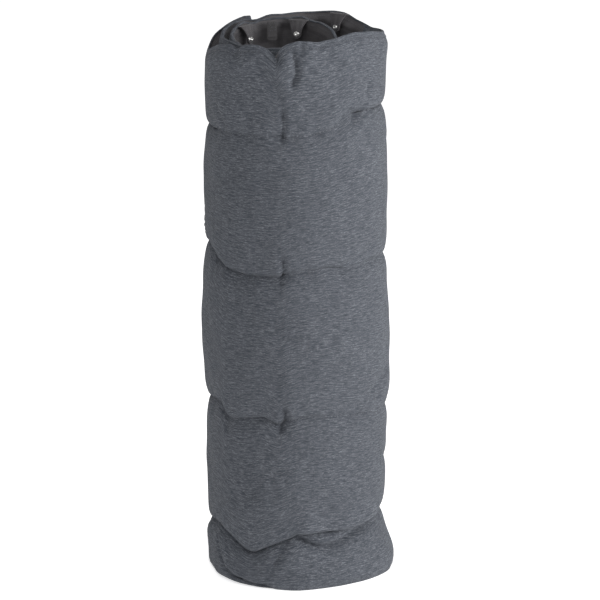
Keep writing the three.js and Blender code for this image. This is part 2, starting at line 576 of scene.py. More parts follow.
def two_layers(
    name: str, outer: Array, inner: Array, uv: Array, material: bpy.types.Material
) -> bpy.types.Object:
    """Make a closed piece between two grids of the same size, smooth but for its edges.

    Args:
        name: The piece's name.
        outer: The grid on the side that the grid's normals point to.
        inner: The grid on the other side.
        uv: The place of each grid point on the flat cloth.
        material: Its material.

    Returns:
        The object.
    """
    rows, columns = outer.shape[:2]
    count = rows * columns
    faces = grid_faces(rows, columns, 0, False) + grid_faces(rows, columns, count, True)
    flat = len(faces)
    edge = border(rows, columns)
    for a, b in zip(edge, edge[1:] + edge[:1]):
        faces.append((b, a, a + count, b + count))
    points = np.concatenate([outer.reshape(-1, 3), inner.reshape(-1, 3)])
    made = new_mesh_object(name, points, faces, material)
    mesh = made.data
    smooth = np.ones(len(faces), bool)
    smooth[flat:] = False
    mesh.polygons.foreach_set("use_smooth", smooth)
    layer = mesh.uv_layers.new(name="cloth")
    corners = np.zeros(len(mesh.loops), np.int32)
    mesh.loops.foreach_get("vertex_index", corners)
    both = np.concatenate([uv.reshape(-1, 2)] * 2)
    layer.data.foreach_set("uv", both[corners].astype(np.float32).ravel())
    sharp_border(mesh, edge, count)
    return made


def sharp_border(mesh: bpy.types.Mesh, edge: Sequence[int], count: int) -> None:
    """Mark the edges round a sheet's border as sharp, so that its faces shade smoothly.

    Args:
        mesh: The sheet's mesh.
        edge: The border's vertices on the first layer, in order.
        count: The vertices of one layer.
    """
    pairs = np.zeros(len(mesh.edges) * 2, np.int32)
    mesh.edges.foreach_get("vertices", pairs)
    pairs = np.sort(pairs.reshape(-1, 2), axis=1)
    keys = pairs[:, 0].astype(np.int64) * (2 * count) + pairs[:, 1]
    ring = np.array(edge)
    following = np.roll(ring, -1)
    wanted = []
    for shift in (0, count):
        low, high = np.minimum(ring, following) + shift, np.maximum(ring, following) + shift
        wanted.append(low.astype(np.int64) * (2 * count) + high)
    sharp = mesh.attributes.new("sharp_edge", "BOOLEAN", "EDGE")
    sharp.data.foreach_set("value", np.isin(keys, np.concatenate(wanted)))


def cloth_sheet(
    name: str, face: Array, thickness: float, uv: Array, material: bpy.types.Material
) -> bpy.types.Object:
    """Make a sheet of cloth whose better face is a grid of points.

    Args:
        name: The piece's name.
        face: The grid, whose normals point away from the cloth's back.
        thickness: The cloth's thickness.
        uv: The place of each grid point on the flat cloth.
        material: Its material.

    Returns:
        The object.
    """
    return two_layers(name, face, face - grid_normals(face) * thickness, uv, material)


# ---- The shape of the roll ---------------------------------------------------------------------


class Side(Enum):
    """A face of the quilt."""

    SHELL = 1.0
    LINING = -1.0


def round_curve(face_angle: Array, stations: Sequence[tuple[float, float]], soft: float) -> Array:
    """A smooth curve round the roll through a few stations.

    Args:
        face_angle: Where it is read, in degrees from the front.
        stations: Angles in degrees, from -180 to 180, and values.
        soft: The width in degrees over which the corners are rounded.

    Returns:
        The curve's values.
    """
    fine = np.arange(-540.0, 540.0, 0.5)
    wrapped = (fine + 180.0) % 360.0 - 180.0
    angles, values = np.array(stations).T
    raw = np.interp(wrapped, angles, values, period=360.0)
    window = np.exp(-((np.arange(-24.0, 24.5, 0.5) / soft) ** 2))
    smooth = np.convolve(raw, window / window.sum(), mode="same")
    return np.interp(face_angle, fine[720:1441], smooth[720:1441])


@dataclass(frozen=True)
class Crease:
    """A fold line on the last turn: places in degrees from the front and in metres up."""

    path: tuple[tuple[float, float], ...]
    depth: float
    width: float
    lip: float = 0.0
    fade: float = 0.012

    def offset(self, face_angle: Array, height: Array, radius: float) -> Array:
        """How far the fold moves the cloth outwards.

        Args:
            face_angle: Each point's angle from the front, in degrees.
            height: Each point's height.
            radius: The radius of the roll, which turns degrees into lengths.

        Returns:
            The offset, which is negative in the fold and positive on its lip.
        """
        across = np.radians(face_angle) * radius
        nearest = np.full(across.shape, 1e9)
        above = np.zeros(across.shape)
        ends = np.zeros(across.shape)
        places = [(math.radians(angle) * radius, z) for angle, z in self.path]
        for number, (start, end) in enumerate(zip(places, places[1:])):
            step = np.array(end) - np.array(start)
            length = float(np.hypot(*step))
            run = ((across - start[0]) * step[0] + (height - start[1]) * step[1]) / length
            side = ((across - start[0]) * -step[1] + (height - start[1]) * step[0]) / length
            beyond = np.maximum(-run, 0.0) + np.maximum(run - length, 0.0)
            distance = np.hypot(side, beyond)
            closer = distance < nearest
            nearest = np.where(closer, distance, nearest)
            above = np.where(closer, side, above)
            first, last = number == 0, number == len(places) - 2
            over = np.maximum(-run, 0.0) * first + np.maximum(run - length, 0.0) * last
            ends = np.where(closer, over, ends)
        keep = np.exp(-((ends / self.fade) ** 2))
        valley = -self.depth * np.exp(-np.sqrt((nearest / self.width) ** 2 + 0.03) + 0.17)
        rise = np.maximum(above, 0.0) / (1.6 * self.width)
        lip = self.lip * rise * np.exp(1.0 - rise)
        return (valley + lip) * keep


@dataclass(frozen=True)
class SeamLine:
    """A row of quilting, and how it lies round the last turn.

    Each station holds an angle from the front in degrees, the rise of the seam over its level
    on the flat quilt, and the depth of its groove.
    """

    level: float
    stations: tuple[tuple[float, float, float], ...]
    above: float = 0.0048
    below: float = 0.0066
    overhang: float = 0.0016

    def depth(self, face_angle: Array) -> Array:
        """The depth of the groove round the last turn."""
        return round_curve(face_angle, [(angle, deep) for angle, _, deep in self.stations], 3.0)

    def droop(self, face_angle: Array, level: Array) -> Array:
        """How far the full cloth over the seam hangs down in front of it.

        Args:
            face_angle: Degrees from the front, to the right.
            level: Levels on the flat quilt.

        Returns:
            Distances downwards.
        """
        away = np.maximum(level - self.level, 0.0) / (1.3 * self.above)
        share = self.depth(face_angle) / max(deep for _, _, deep in self.stations)
        return self.overhang * share * away * np.exp(1.0 - away)

    def rise(self, face_angle: Array) -> Array:
        """How far the seam lies over its own level."""
        return round_curve(face_angle, [(angle, rise) for angle, rise, _ in self.stations], 3.0)

    def groove(self, face_angle: Array, level: Array) -> Array:
        """How far the seam draws the cloth inwards, as a negative offset.

        Args:
            face_angle: Degrees from the front, to the right.
            level: Levels on the flat quilt.

        Returns:
            Offsets, at most 0.
        """
        away = level - self.level
        reach = np.where(away > 0.0, self.above, self.below)
        return -self.depth(face_angle) * np.exp(-np.sqrt((away / reach) ** 2 + 0.02) + 0.141)


# The rows of quilting, from the bottom up.
SEAM_LINES = (
    SeamLine(
        0.062,
        (
            (-180, 0.004, 0.007),
            (-120, 0.012, 0.008),
            (-90, 0.003, 0.010),
            (-76, 0.008, 0.0120),
            (-62, 0.010, 0.0135),
            (-54, 0.004, 0.0145),
            (-46, -0.003, 0.0150),
            (-38, -0.012, 0.0150),
            (-31, -0.0165, 0.0150),
            (-25, -0.012, 0.0150),
            (-18, -0.005, 0.0145),
            (-5, 0.005, 0.0140),
            (4, 0.013, 0.0130),
            (20, 0.014, 0.0115),
            (34, 0.013, 0.0115),
            (48, 0.014, 0.0125),
            (60, 0.016, 0.0130),
            (74, 0.018, 0.0125),
            (90, 0.022, 0.0105),
            (120, 0.016, 0.008),
        ),
        above=0.0044,
        below=0.0060,
        overhang=0.0062,
    ),
    SeamLine(
        0.222,
        (
            (-180, 0.000, 0.0042),
            (-120, 0.004, 0.0050),
            (-88, 0.004, 0.0062),
            (-70, 0.010, 0.0056),
            (-58, 0.010, 0.0048),
            (-51, -0.006, 0.0056),
            (-38, -0.003, 0.0060),
            (-21, 0.002, 0.0066),
            (-10, -0.008, 0.0072),
            (-6, -0.001, 0.0044),
            (3, 0.004, 0.0026),
            (14, 0.005, 0.0036),
            (30, 0.004, 0.0012),
            (45, 0.002, 0.0008),
            (70, -0.002, 0.0008),
            (90, -0.004, 0.0012),
            (130, 0.000, 0.0030),
        ),
    ),
    SeamLine(
        0.418,
        (
            (-180, 0.000, 0.0042),
            (-120, 0.008, 0.0046),
            (-90, 0.010, 0.0040),
            (-75, 0.009, 0.0056),
            (-58, -0.005, 0.0070),
            (-46, -0.011, 0.0072),
            (-33, -0.014, 0.0070),
            (-9, -0.013, 0.0072),
            (-5, -0.007, 0.0046),
            (5, -0.004, 0.0026),
            (15, -0.003, 0.0020),
            (22, -0.001, 0.0054),
            (32, -0.005, 0.0052),
            (40, -0.005, 0.0018),
            (52, -0.003, 0.0016),
            (66, -0.002, 0.0056),
            (90, -0.004, 0.0030),
            (130, 0.000, 0.0035),
        ),
    ),
    SeamLine(
        0.606,
        (
            (-180, 0.000, 0.0040),
            (-120, -0.016, 0.0046),
            (-90, -0.028, 0.0046),
            (-71, -0.028, 0.0050),
            (-60, -0.025, 0.0034),
            (-45, -0.024, 0.0018),
            (-20, -0.023, 0.0014),
            (-7, -0.024, 0.0030),
            (3, -0.022, 0.0014),
            (13, -0.021, 0.0012),
            (28, -0.012, 0.0012),
            (42, -0.002, 0.0034),
            (53, 0.001, 0.0050),
            (70, 0.000, 0.0056),
            (90, -0.001, 0.0060),
            (120, -0.002, 0.0050),
        ),
    ),
)

# The height of the last turn's upper edge, by degrees from the front.
RIM = (
    (-180, 0.702),
    (-158, 0.6955),
    (-146, 0.6975),
    (-120, 0.686),
    (-90, 0.669),
    (-75, 0.6775),
    (-60, 0.6860),
    (-48, 0.6890),
    (-42, 0.6840),
    (-37, 0.6890),
    (-30, 0.6915),
    (-25, 0.6915),
    (-19.5, 0.6885),
    (-15, 0.6825),
    (-12.2, 0.6755),
    (-9.8, 0.6885),
    (-5, 0.6940),
    (2, 0.6980),
    (10, 0.6975),
    (17, 0.6955),
    (21, 0.6975),
    (27, 0.6985),
    (37, 0.7020),
    (45, 0.7040),
    (60, 0.7020),
    (85, 0.6940),
    (95, 0.6930),
    (120, 0.6885),
    (136, 0.6950),
    (144, 0.7015),
    (152, 0.7030),
    (165, 0.7020),
)

# Where the inner turns' rim dips: place and half width in turns, and depth.
INNER_DIPS = (
    (1.42, 0.170, 0.0095),
    (1.67, 0.090, 0.0120),
)

# Hollows in the lining under the rim: place and half width in turns, and depth.
POCKETS = (
    (1.922, 0.017, 0.0074),
    (1.975, 0.010, -0.0016),
    (2.132, 0.022, 0.0074),
    (2.035, 0.010, 0.0044),
    (1.850, 0.012, 0.0056),
    (0.866, 0.020, 0.0078),
    (0.780, 0.016, 0.0056),
)

# The other fold lines that the last turn shows, from the top down.
CREASES = (
    # below the upper hem
    Crease(((-16.5, 0.690), (-13, 0.684), (-9.5, 0.677)), 0.0062, 0.0028, 0.0016),
    Crease(((-0.5, 0.684), (1.5, 0.672), (2.0, 0.662), (-0.5, 0.650)), 0.0068, 0.0032, 0.0014),
    Crease(((5.5, 0.695), (3.5, 0.682)), 0.0036, 0.0040, 0.0010),
    Crease(((-42, 0.690), (-40, 0.680)), 0.0030, 0.0036),
    Crease(((-22, 0.664), (-14, 0.648), (-10, 0.634)), 0.0022, 0.0060, 0.0008),
    Crease(((17, 0.694), (22, 0.678), (30, 0.664)), 0.0018, 0.0080),
    Crease(((38, 0.690), (52, 0.640)), 0.0016, 0.0120),
    Crease(((66, 0.690), (74, 0.660), (70, 0.630)), 0.0022, 0.0090, 0.0008),
    # the uppermost row of quilting
    Crease(((-66, 0.622), (-61, 0.610), (-54, 0.590)), 0.0034, 0.0044, 0.0010),
    Crease(((-7.5, 0.612), (-6.5, 0.598), (-7.5, 0.580)), 0.0064, 0.0026, 0.0014),
    Crease(((57, 0.640), (55, 0.622), (50, 0.607)), 0.0036, 0.0042, 0.0012),
    Crease(((34, 0.604), (40, 0.611), (46, 0.605), (43, 0.596)), 0.0038, 0.0032, 0.0012),
    Crease(((-34, 0.566), (-20, 0.548)), 0.0012, 0.0110),
    # the second row
    Crease(((-86, 0.440), (-72, 0.428), (-60, 0.416)), 0.0034, 0.0056, 0.0014),
    Crease(((-8, 0.428), (-6.5, 0.416), (-8.5, 0.400)), 0.0060, 0.0028, 0.0014),
    Crease(((33, 0.416), (46, 0.424), (56, 0.436)), 0.0022, 0.0060, 0.0008),
    Crease(((-50, 0.392), (-40, 0.376)), 0.0014, 0.0090),
    # a slack place between the second and the third row
    Crease(((3, 0.289), (30, 0.290), (60, 0.281)), 0.0014, 0.0090),
    Crease(((78, 0.268), (66, 0.258), (58, 0.248), (66, 0.238)), 0.0042, 0.0050, 0.0014),
    Crease(((60, 0.300), (78, 0.290)), 0.0022, 0.0080),
    # the third row
    Crease(((-60, 0.238), (-56, 0.226), (-50, 0.208)), 0.0050, 0.0034, 0.0012),
    Crease(((-6.5, 0.236), (-5.0, 0.226), (-9, 0.210)), 0.0066, 0.0026, 0.0014),
    Crease(((76, 0.152), (92, 0.146), (104, 0.147)), 0.0040, 0.0090),
    # dents in the lowest row
    Crease(((-41, 0.120), (-28, 0.129), (-14, 0.127)), 0.0026, 0.0080, 0.0008),
    Crease(((-56, 0.146), (-46, 0.138)), 0.0020, 0.0060),
    # a second fold beside the pinched seam, and small ones across it
    Crease(
        ((4, 0.069), (9, 0.064), (19, 0.056), (30, 0.058), (40, 0.064), (52, 0.071), (62, 0.077)),
        0.0120,
        0.0040,
        0.0070,
    ),
    Crease(((-5, 0.060), (-10, 0.048), (-13, 0.036)), 0.0042, 0.0034, 0.0014),
    Crease(((-30, 0.036), (-24, 0.028)), 0.0024, 0.0040),
    # the lower hem overlaps itself at the left
    Crease(((-65, 0.056), (-58, 0.034), (-51, 0.017), (-36, 0.008), (-16, 0.003)), 0.0060, 0.0028, 0.0034),
    Crease(((-30, 0.016), (4, 0.022), (34, 0.032)), 0.0016, 0.0070),
)


@dataclass(frozen=True)
class Roll:
    """The driving sizes of the roll, and the surfaces that follow from them."""

    free_end_angle: float = 112.0
    turns: float = 5.6
    steps_per_turn: int = 20
    flap_turns: float = 0.15
    core_shift: float = 0.020
    radius: float = 0.113
    outer_loft: float = 0.016
    inner_loft: float = 0.010
    turn_gap: float = 0.0018
    looseness: float = 0.008
    cloth: float = 0.0008
    dive: tuple[float, float] = (0.82, 0.97)
    loose_start: float = 1.19
    sink: tuple[float, float] = (2.15, 2.6)
    width: float = 0.700
    inner_left_dip: float = 0.005
    inner_drop: float = 0.007
    inner_left_rise: float = 0.005
    back_rise: float = 0.007
    core_drop: float = 0.048
    hem: float = 0.008
    deepest_shell: float = -0.0060
    deepest_lining: float = -0.0105
    pad_reach: float = 0.0075

    @property
    def seams(self) -> tuple[float, ...]:
        """The levels of the rows of quilting on the flat quilt."""
        return tuple(line.level for line in SEAM_LINES)

    def direction(self, turn: Array) -> Array:
        """The direction from the core, in radians, at a distance in turns from the free end."""
        return np.radians(self.free_end_angle + FULL_TURN * np.asarray(turn, float))

    def mid_radius(self, turn: Array) -> Array:
        """The distance from the core to the middle of the quilt.

        Args:
            turn: Distances in turns from the free end.

        Returns:
            Distances in metres.
        """
        turn = np.asarray(turn, float)
        angle = self.direction(turn)
        ring_mid = self.radius - self.outer_loft / 2
        outer_pitch = (self.outer_loft + self.inner_loft) / 2 + self.turn_gap
        sideways = self.core_shift * np.sin(angle)
        ring = self.core_shift * np.cos(angle) + np.sqrt(ring_mid**2 - sideways**2)
        last = ring - outer_pitch * smoothstep(turn, *self.dive)
        along = np.clip(turn - self.loose_start, 0.0, 1.0)
        start = ring_mid - self.core_shift - outer_pitch
        pitch = self.inner_loft + self.turn_gap
        inner = start - pitch * (turn - self.loose_start) + self.looseness * np.sin(np.pi * along) ** 2
        return np.where(turn <= self.loose_start, last, inner)

    def half_loft(self, turn: Array) -> Array:
        """Half the thickness of the quilt."""
        return (self.outer_loft + (self.inner_loft - self.outer_loft) * smoothstep(turn, *self.dive)) / 2

    def shift(self) -> Array:
        """What puts the middle of the faceted roll's box over the origin.

        Returns:
            The shift in X and Y.
        """
        turn = np.arange(0, round(self.turns * self.steps_per_turn) + 1) / self.steps_per_turn
        corners = self._polar(turn, self.mid_radius(turn) + self.half_loft(turn))
        return -(corners.min(axis=0) + corners.max(axis=0)) / 2

    def _polar(self, turn: Array, radius: Array) -> Array:
        """Points at a distance from the core, before the shift."""
        angle = self.direction(turn)
        return np.stack([radius * np.cos(angle) - self.core_shift, radius * np.sin(angle)], axis=-1)

    def points(self, turn: Array, offset: Array, height: Array) -> Array:
        """Points of the quilt.

        Args:
            turn: The distance in turns from the free end.
            offset: The distance outwards from the middle of the quilt.
            height: The height.

        Returns:
            The points, with one more axis than the arguments have.
        """
        turn, offset, height = np.broadcast_arrays(turn, offset, height)
        flat = self._polar(turn, self.mid_radius(turn) + offset) + self.shift()
        return np.concatenate([flat, height[..., None]], axis=-1)

    def face_angle(self, turn: Array) -> Array:
        """Degrees from the front, to the right, of the last turn's surface."""
        place = self.points(turn, self.half_loft(turn), np.zeros_like(turn))
        return np.degrees(np.arctan2(place[..., 0], -place[..., 1]))

    def inside(self, turn: Array) -> Array:
        """Whether a place lies under the last turn, from 0 to 1."""
        return smoothstep(turn, *self.dive)

    def rim(self, turn: Array) -> Array:
        """The height of the upper edge, with the puckers that its hem draws up.

        Args:
            turn: Distances in turns from the free end.

        Returns:
            Heights in metres.
        """
        turn = np.asarray(turn, float)
        degrees = np.mod(self.free_end_angle + FULL_TURN * turn, FULL_TURN)
        within = self.width - self.inner_left_dip * swell(degrees, 180, 42)
        within = within + self.back_rise * swell(degrees, 75, 45) - self.inner_drop
        within = within + self.inner_left_rise * swell(degrees, 148, 22)
        within = within - sum(deep * swell(turn, place, wide) for place, wide, deep in INNER_DIPS)
        within = within + wobble(turn, ((0.0011, 61.0, 0.4), (0.0008, 97.0, 2.1)))
        last = round_curve(self.face_angle(turn), RIM, 1.3)
        inside = self.inside(turn)
        return last * (1.0 - inside) + within * inside - self.core_drop * smoothstep(turn, *self.sink)

    def heights(self, turn: Array, level: Array) -> Array:
        """Real heights of places whose height on the flat quilt is level.

        Args:
            turn: Distances in turns from the free end.
            level: Levels on the flat quilt.

        Returns:
            Heights in metres.
        """
        turn, level = np.broadcast_arrays(turn, level)
        face = self.face_angle(turn)
        outside = 1.0 - self.inside(turn)
        left = swell(face, -62.0, 30.0) * outside
        knots = [0.0040 * left]
        knots += [line.level + outside * line.rise(face) for line in SEAM_LINES]
        knots.append(self.rim(turn))
        flat = (0.0, *self.seams, self.width)
        height = np.zeros(level.shape)
        for low, high, start, end in zip(flat, flat[1:], knots, knots[1:]):
            share = np.clip((level - low) / (high - low), 0.0, 1.0)
            rows = (level >= low) & (level <= high)
            height = np.where(rows, start + (end - start) * share, height)
        return height - outside * sum(line.droop(face, level) for line in SEAM_LINES)

    def seam_pinch(self, level: Array, reach: float) -> Array:
        """How close each level is to a row of quilting, from 0 to 1."""
        return sum(np.exp(-np.abs(np.asarray(level) - seam) / reach) for seam in self.seams)

    def length_along(self, turn: Array) -> Array:
        """The length of quilt from the free end, for sorted places.

        Args:
            turn: Distances in turns from the free end.

        Returns:
            Lengths in metres.
        """
        fine = np.linspace(0.0, self.turns, 4000)
        middle = self._polar(fine, self.mid_radius(fine))
        steps = np.linalg.norm(np.diff(middle, axis=0), axis=1)
        return np.interp(turn, fine, np.concatenate([[0.0], np.cumsum(steps)]))

    def shell_offset(self, turn: Array, level: Array) -> Array:
        """The distance of the shell from the middle of the quilt.

        Args:
            turn: Distances in turns from the free end.
            level: Levels on the flat quilt.

        Returns:
            Offsets outwards.
        """
        turn, level = np.broadcast_arrays(turn, level)
        half = self.half_loft(turn)
        inside = smoothstep(turn, 0.86, 1.02)
        face = self.face_angle(turn)
        height = self.heights(turn, level)
        last = half + self._fullness(turn, level, height) + self._hem_flare(face, height)
        last = last + sum(line.groove(face, level) for line in SEAM_LINES)
        last = last + sum(crease.offset(face, height, self.radius) for crease in CREASES)
        spare = (last - self.deepest_shell) / 0.0012
        last = self.deepest_shell + 0.0012 * np.logaddexp(0.0, np.clip(spare, -30.0, 30.0))
        pressed = half - (half - 0.0014) * np.clip(self.seam_pinch(level, 0.010), 0.0, 1.0)
        drop = np.where(inside < 0.5, 0.0045, half - 0.0016) * self._edge_taper(level)
        return (1.0 - inside) * last + inside * pressed - drop

    def _fullness(self, turn: Array, level: Array, height: Array) -> Array:
        """How the filling swells and sags the last turn between its seams.

        Args:
            turn: Distances in turns from the free end.
            level: Levels on the flat quilt.
            height: Real heights.

        Returns:
            Offsets outwards.
        """
        face = self.face_angle(turn)
        row = np.interp(level, (0.0, *self.seams, self.width), range(len(self.seams) + 2)) % 1.0
        in_rows = (level > self.seams[0]) & (level < self.seams[-1])
        puff = np.where(in_rows, 0.0026 * 4.0 * row * (1.0 - row), 0.0)
        broad = 0.0016 * self.seam_pinch(level, 0.022)
        belly = 0.0020 * swell(height, 0.34, 0.11) - 0.0018 * swell(height, 0.53, 0.10)
        side = smoothstep(-face, 20.0, 80.0) * (1.0 - smoothstep(-face, 110.0, 150.0))
        belly = belly - 0.0034 * side * swell(height, 0.13, 0.07)
        belly = belly + 0.0036 * swell(face, 84.0, 24.0) * swell(height, 0.245, 0.050)
        lean = wobble(turn, ((0.0010, 19.0, 1.0), (0.0007, 43.0, 0.2)))
        across = np.sin(height * 47.0 + 1.3 * np.sin(turn * 23.0))
        lumps = 0.0009 * np.sin(turn * 37.0 + height * 21.0) * across
        lumps = lumps + 0.0005 * np.sin(turn * 83.0 - height * 39.0) * np.sin(height * 91.0 + turn * 17.0)
        gathers = 0.5 + 0.5 * np.sin(turn * 131.0 + 2.0 * np.sin(turn * 41.0) + level * 26.0)
        tucks = -0.0013 * self.seam_pinch(level, 0.015) * gathers**2
        return puff - broad + belly + lean + lumps + tucks

    def _edge_taper(self, level: Array) -> Array:
        """How close a place is to the upper hem, where the quilt thins to its seam."""
        return smoothstep(level, self.width - 0.012, self.width)

    def _hem_flare(self, face: Array, height: Array) -> Array:
        """The lower hem stands out round the foot of the roll.

        Args:
            face: Degrees from the front, to the right.
            height: Real heights.

        Returns:
            Offsets outwards.
        """
        foot = smoothstep(-height, -0.066, -0.012)
        right = 0.0110 * smoothstep(face, 40.0, 80.0) * (1.0 - smoothstep(face, 100.0, 140.0))
        left = -0.0030 * smoothstep(-face, 55.0, 80.0) * (1.0 - smoothstep(-face, 100.0, 140.0))
        return foot * (0.0018 + right + left) - 0.0030 * swell(height, 0.0, 0.006)

    def lining_offset(self, turn: Array, level: Array) -> Array:
        """The distance of the lining from the middle of the quilt.

        Args:
            turn: Distances in turns from the free end.
            level: Levels on the flat quilt.

        Returns:
            Offsets outwards.
        """
        turn, level = np.broadcast_arrays(turn, level)
        half = self.half_loft(turn)
        inside = self.inside(turn)
        pinch = np.clip(self.seam_pinch(level, 0.012), 0.0, 1.0)
        pulled = -half + (half - 0.0014) * pinch
        steps = np.linspace(-self.pad_reach, self.pad_reach, 5)
        beside = [self.shell_offset(turn, np.clip(level + step, 0.0, self.width)) for step in steps]
        under = np.maximum(np.minimum.reduce(beside) - 0.0050, self.deepest_lining)
        pulled = np.where(inside < 1.0, np.minimum(pulled, under), pulled)
        near_top = smoothstep(level, self.width - 0.040, self.width)
        seen = near_top * (1.0 - smoothstep(turn, 2.3, 2.6)) * (1.0 - self._edge_taper(level))
        across = turn + 0.06 * (self.width - level)
        folds = wobble(across, ((0.0011, 73.0, 0.3), (0.0008, 131.0, 1.9), (0.0005, 211.0, 4.0)))
        bands = -0.0007 * np.abs(np.sin((self.width - level) * 420.0))
        rise = np.where(inside > 0.5, half - 0.0016, 0.0105) * self._edge_taper(level)
        cloth = pulled + (folds + bands) * seen + self._pockets(turn, level) + rise
        cloth = cloth - self._rolled_hem(turn, level)
        return np.minimum(cloth, self.shell_offset(turn, level) - 0.0026 + 0.0016 * self._edge_taper(level))

    def _rolled_hem(self, turn: Array, level: Array) -> Array:
        """How far the lining leans inwards under the hem that is rolled in at the right back.

        Args:
            turn: Distances in turns from the free end.
            level: Levels on the flat quilt.

        Returns:
            Distances inwards.
        """
        face = self.face_angle(turn)
        there = smoothstep(face, 92.0, 106.0) * (1.0 - smoothstep(face, 115.0, 127.0)) * (turn < 0.9)
        below = self.width - level
        return 0.0120 * there * smoothstep(below, 0.0, 0.026) * (1.0 - smoothstep(below, 0.030, 0.060))

    def _pockets(self, turn: Array, level: Array) -> Array:
        """How far the lining falls back into hollows beside the tabs.

        Args:
            turn: Distances in turns from the free end.
            level: Levels on the flat quilt.

        Returns:
            Offsets outwards.
        """
        below = self.width - level
        tall = smoothstep(below, 0.004, 0.013) * (1.0 - smoothstep(below, 0.060, 0.085))
        return sum(depth * swell(turn, place, wide) for place, wide, depth in POCKETS) * tall

    def pad_offsets(self, turn: Array, level: Array) -> tuple[Array, Array]:
        """The outer and inner surface of the filling, clear of both cloths.

        Args:
            turn: Stations along the roll, as a column.
            level: Levels on the flat quilt, as a row.

        Returns:
            The two distances from the middle of the quilt.
        """
        near_turn = self.pad_reach / (2 * math.pi * np.maximum(self.mid_radius(turn), 0.008))
        outer, inner = np.full((2, *np.broadcast_shapes(turn.shape, level.shape)), 1.0)
        for along in np.linspace(-1.0, 1.0, 7):
            for up in np.linspace(-1.0, 1.0, 5):
                place = np.clip(turn + along * near_turn, 0.0, self.turns)
                at = np.clip(level + up * self.pad_reach, 0.0, self.width)
                outer = np.minimum(outer, self.shell_offset(place, at))
                inner = np.minimum(inner, -self.lining_offset(place, at))
        outer, inner = outer - 0.0018, -inner + 0.0014
        middle = (self.shell_offset(turn, level) + self.lining_offset(turn, level)) / 2
        thin = outer - inner < 0.0006
        return np.where(thin, middle + 0.0003, outer), np.where(thin, middle - 0.0003, inner)


@dataclass
class ClothSolver:
    """Settles a grid of cloth on the filling under it, one small correction at a time."""

    rounds: int = 260
    ease_along: float = 1.012
    ease_up: float = 1.010
    stiffness: float = 0.85
    bending: float = 0.10
    sag: float = 1.1e-5
    swell: float = 0.5e-5
    reach_out: float = 0.0011
    reach_in: float = 0.0010

    def settle(self, start: Array, held: Array) -> Array:
        """Move the cloth until its threads have their own length again.

        Args:
            start: The grid of points that the filling presses the cloth into.
            held: How firmly each point is sewn down, from 0 to 1.

        Returns:
            The settled grid.
        """
        cloth = start.copy()
        outwards = grid_normals(start)
        along = self._lengths(start, 0, 1) * self.ease_along
        up = self._lengths(start, 1, 1) * self.ease_up
        diagonals = [self._diagonal(start, k) for k in (0, 1)]
        far_along = self._lengths(start, 0, 2)
        far_up = self._lengths(start, 1, 2)
        free = (1.0 - held)[..., None]
        for _ in range(self.rounds):
            cloth = cloth + free * (outwards * self.swell)
            cloth[..., 2] -= free[..., 0] * self.sag
            push = np.zeros_like(cloth)
            count = np.zeros(cloth.shape[:2])
            self._pull(cloth, push, count, 0, 1, along, self.stiffness)
            self._pull(cloth, push, count, 1, 1, up, self.stiffness)
            for k in (0, 1):
                self._pull_diagonal(cloth, push, count, k, diagonals[k])
            self._pull(cloth, push, count, 0, 2, far_along, self.bending)
            self._pull(cloth, push, count, 1, 2, far_up, self.bending)
            cloth = cloth + free * push / count[..., None] * 1.6
            moved = cloth - start
            out = (moved * outwards).sum(axis=2)
            limited = np.clip(out, -self.reach_in, self.reach_out)
            cloth = cloth + outwards * (limited - out)[..., None]
        return cloth

    @staticmethod
    def _lengths(points: Array, axis: int, gap: int) -> Array:
        """Distances between points that are a gap apart on one axis.

        Args:
            points: The grid of points.
            axis: The grid axis to go along.
            gap: How many grid steps apart.

        Returns:
            The lengths.
        """
        ahead = np.roll(points, -gap, axis=axis)
        span = np.linalg.norm(ahead - points, axis=2)
        return span[:-gap] if axis == 0 else span[:, :-gap]

    @staticmethod
    def _diagonal(points: Array, which: int) -> Array:
        """Lengths of one of the two diagonals of each cell."""
        first, second = ClothSolver._ends(points, which)
        return np.linalg.norm(second - first, axis=2)

    @staticmethod
    def _ends(points: Array, which: int) -> tuple[Array, Array]:
        """Views of the two ends of each cell's diagonal."""
        if which == 0:
            return points[:-1, :-1], points[1:, 1:]
        return points[1:, :-1], points[:-1, 1:]

    @staticmethod
    def _pull(
        cloth: Array, push: Array, count: Array, axis: int, gap: int, rest: Array, stiffness: float
    ) -> None:
        """Add the corrections of the threads on one axis.

        Args:
            cloth: The cloth, as a grid of points.
            push: The sum of the moves so far, changed in place.
            count: How many moves each point has had, changed in place.
            axis: The grid axis to go along.
            gap: How many grid steps apart.
            rest: The lengths that the cloth wants.
            stiffness: The share of a wrong length that is mended.
        """
        near = (slice(None, -gap), slice(None)) if axis == 0 else (slice(None), slice(None, -gap))
        far = (slice(gap, None), slice(None)) if axis == 0 else (slice(None), slice(gap, None))
        span = cloth[far] - cloth[near]
        length = np.maximum(np.linalg.norm(span, axis=2), 1e-9)
        fix = span * (0.5 * stiffness * (length - rest) / length)[..., None]
        push[near] += fix
        push[far] -= fix
        count[near] += 1.0
        count[far] += 1.0

    @staticmethod
    def _pull_diagonal(cloth: Array, push: Array, count: Array, which: int, rest: Array) -> None:
        """Add the corrections of the cloth's resistance to shear.

        Args:
            cloth: The cloth, as a grid of points.
            push: The sum of the moves so far, changed in place.
            count: How many moves each point has had, changed in place.
            which: 0 or 1, for the two diagonals.
            rest: The lengths that the cloth wants.
        """
        near, far = ClothSolver._ends(cloth, which)
        span = far - near
        length = np.maximum(np.linalg.norm(span, axis=2), 1e-9)
        fix = span * (0.5 * 0.35 * (length - rest) / length)[..., None]
        push_near, push_far = ClothSolver._ends(push, which)
        push_near += fix
        push_far -= fix
        count_near, count_far = ClothSolver._ends(count, which)
        count_near += 1.0
        count_far += 1.0


# ---- Stitches ------------------------------------------------------------------------------


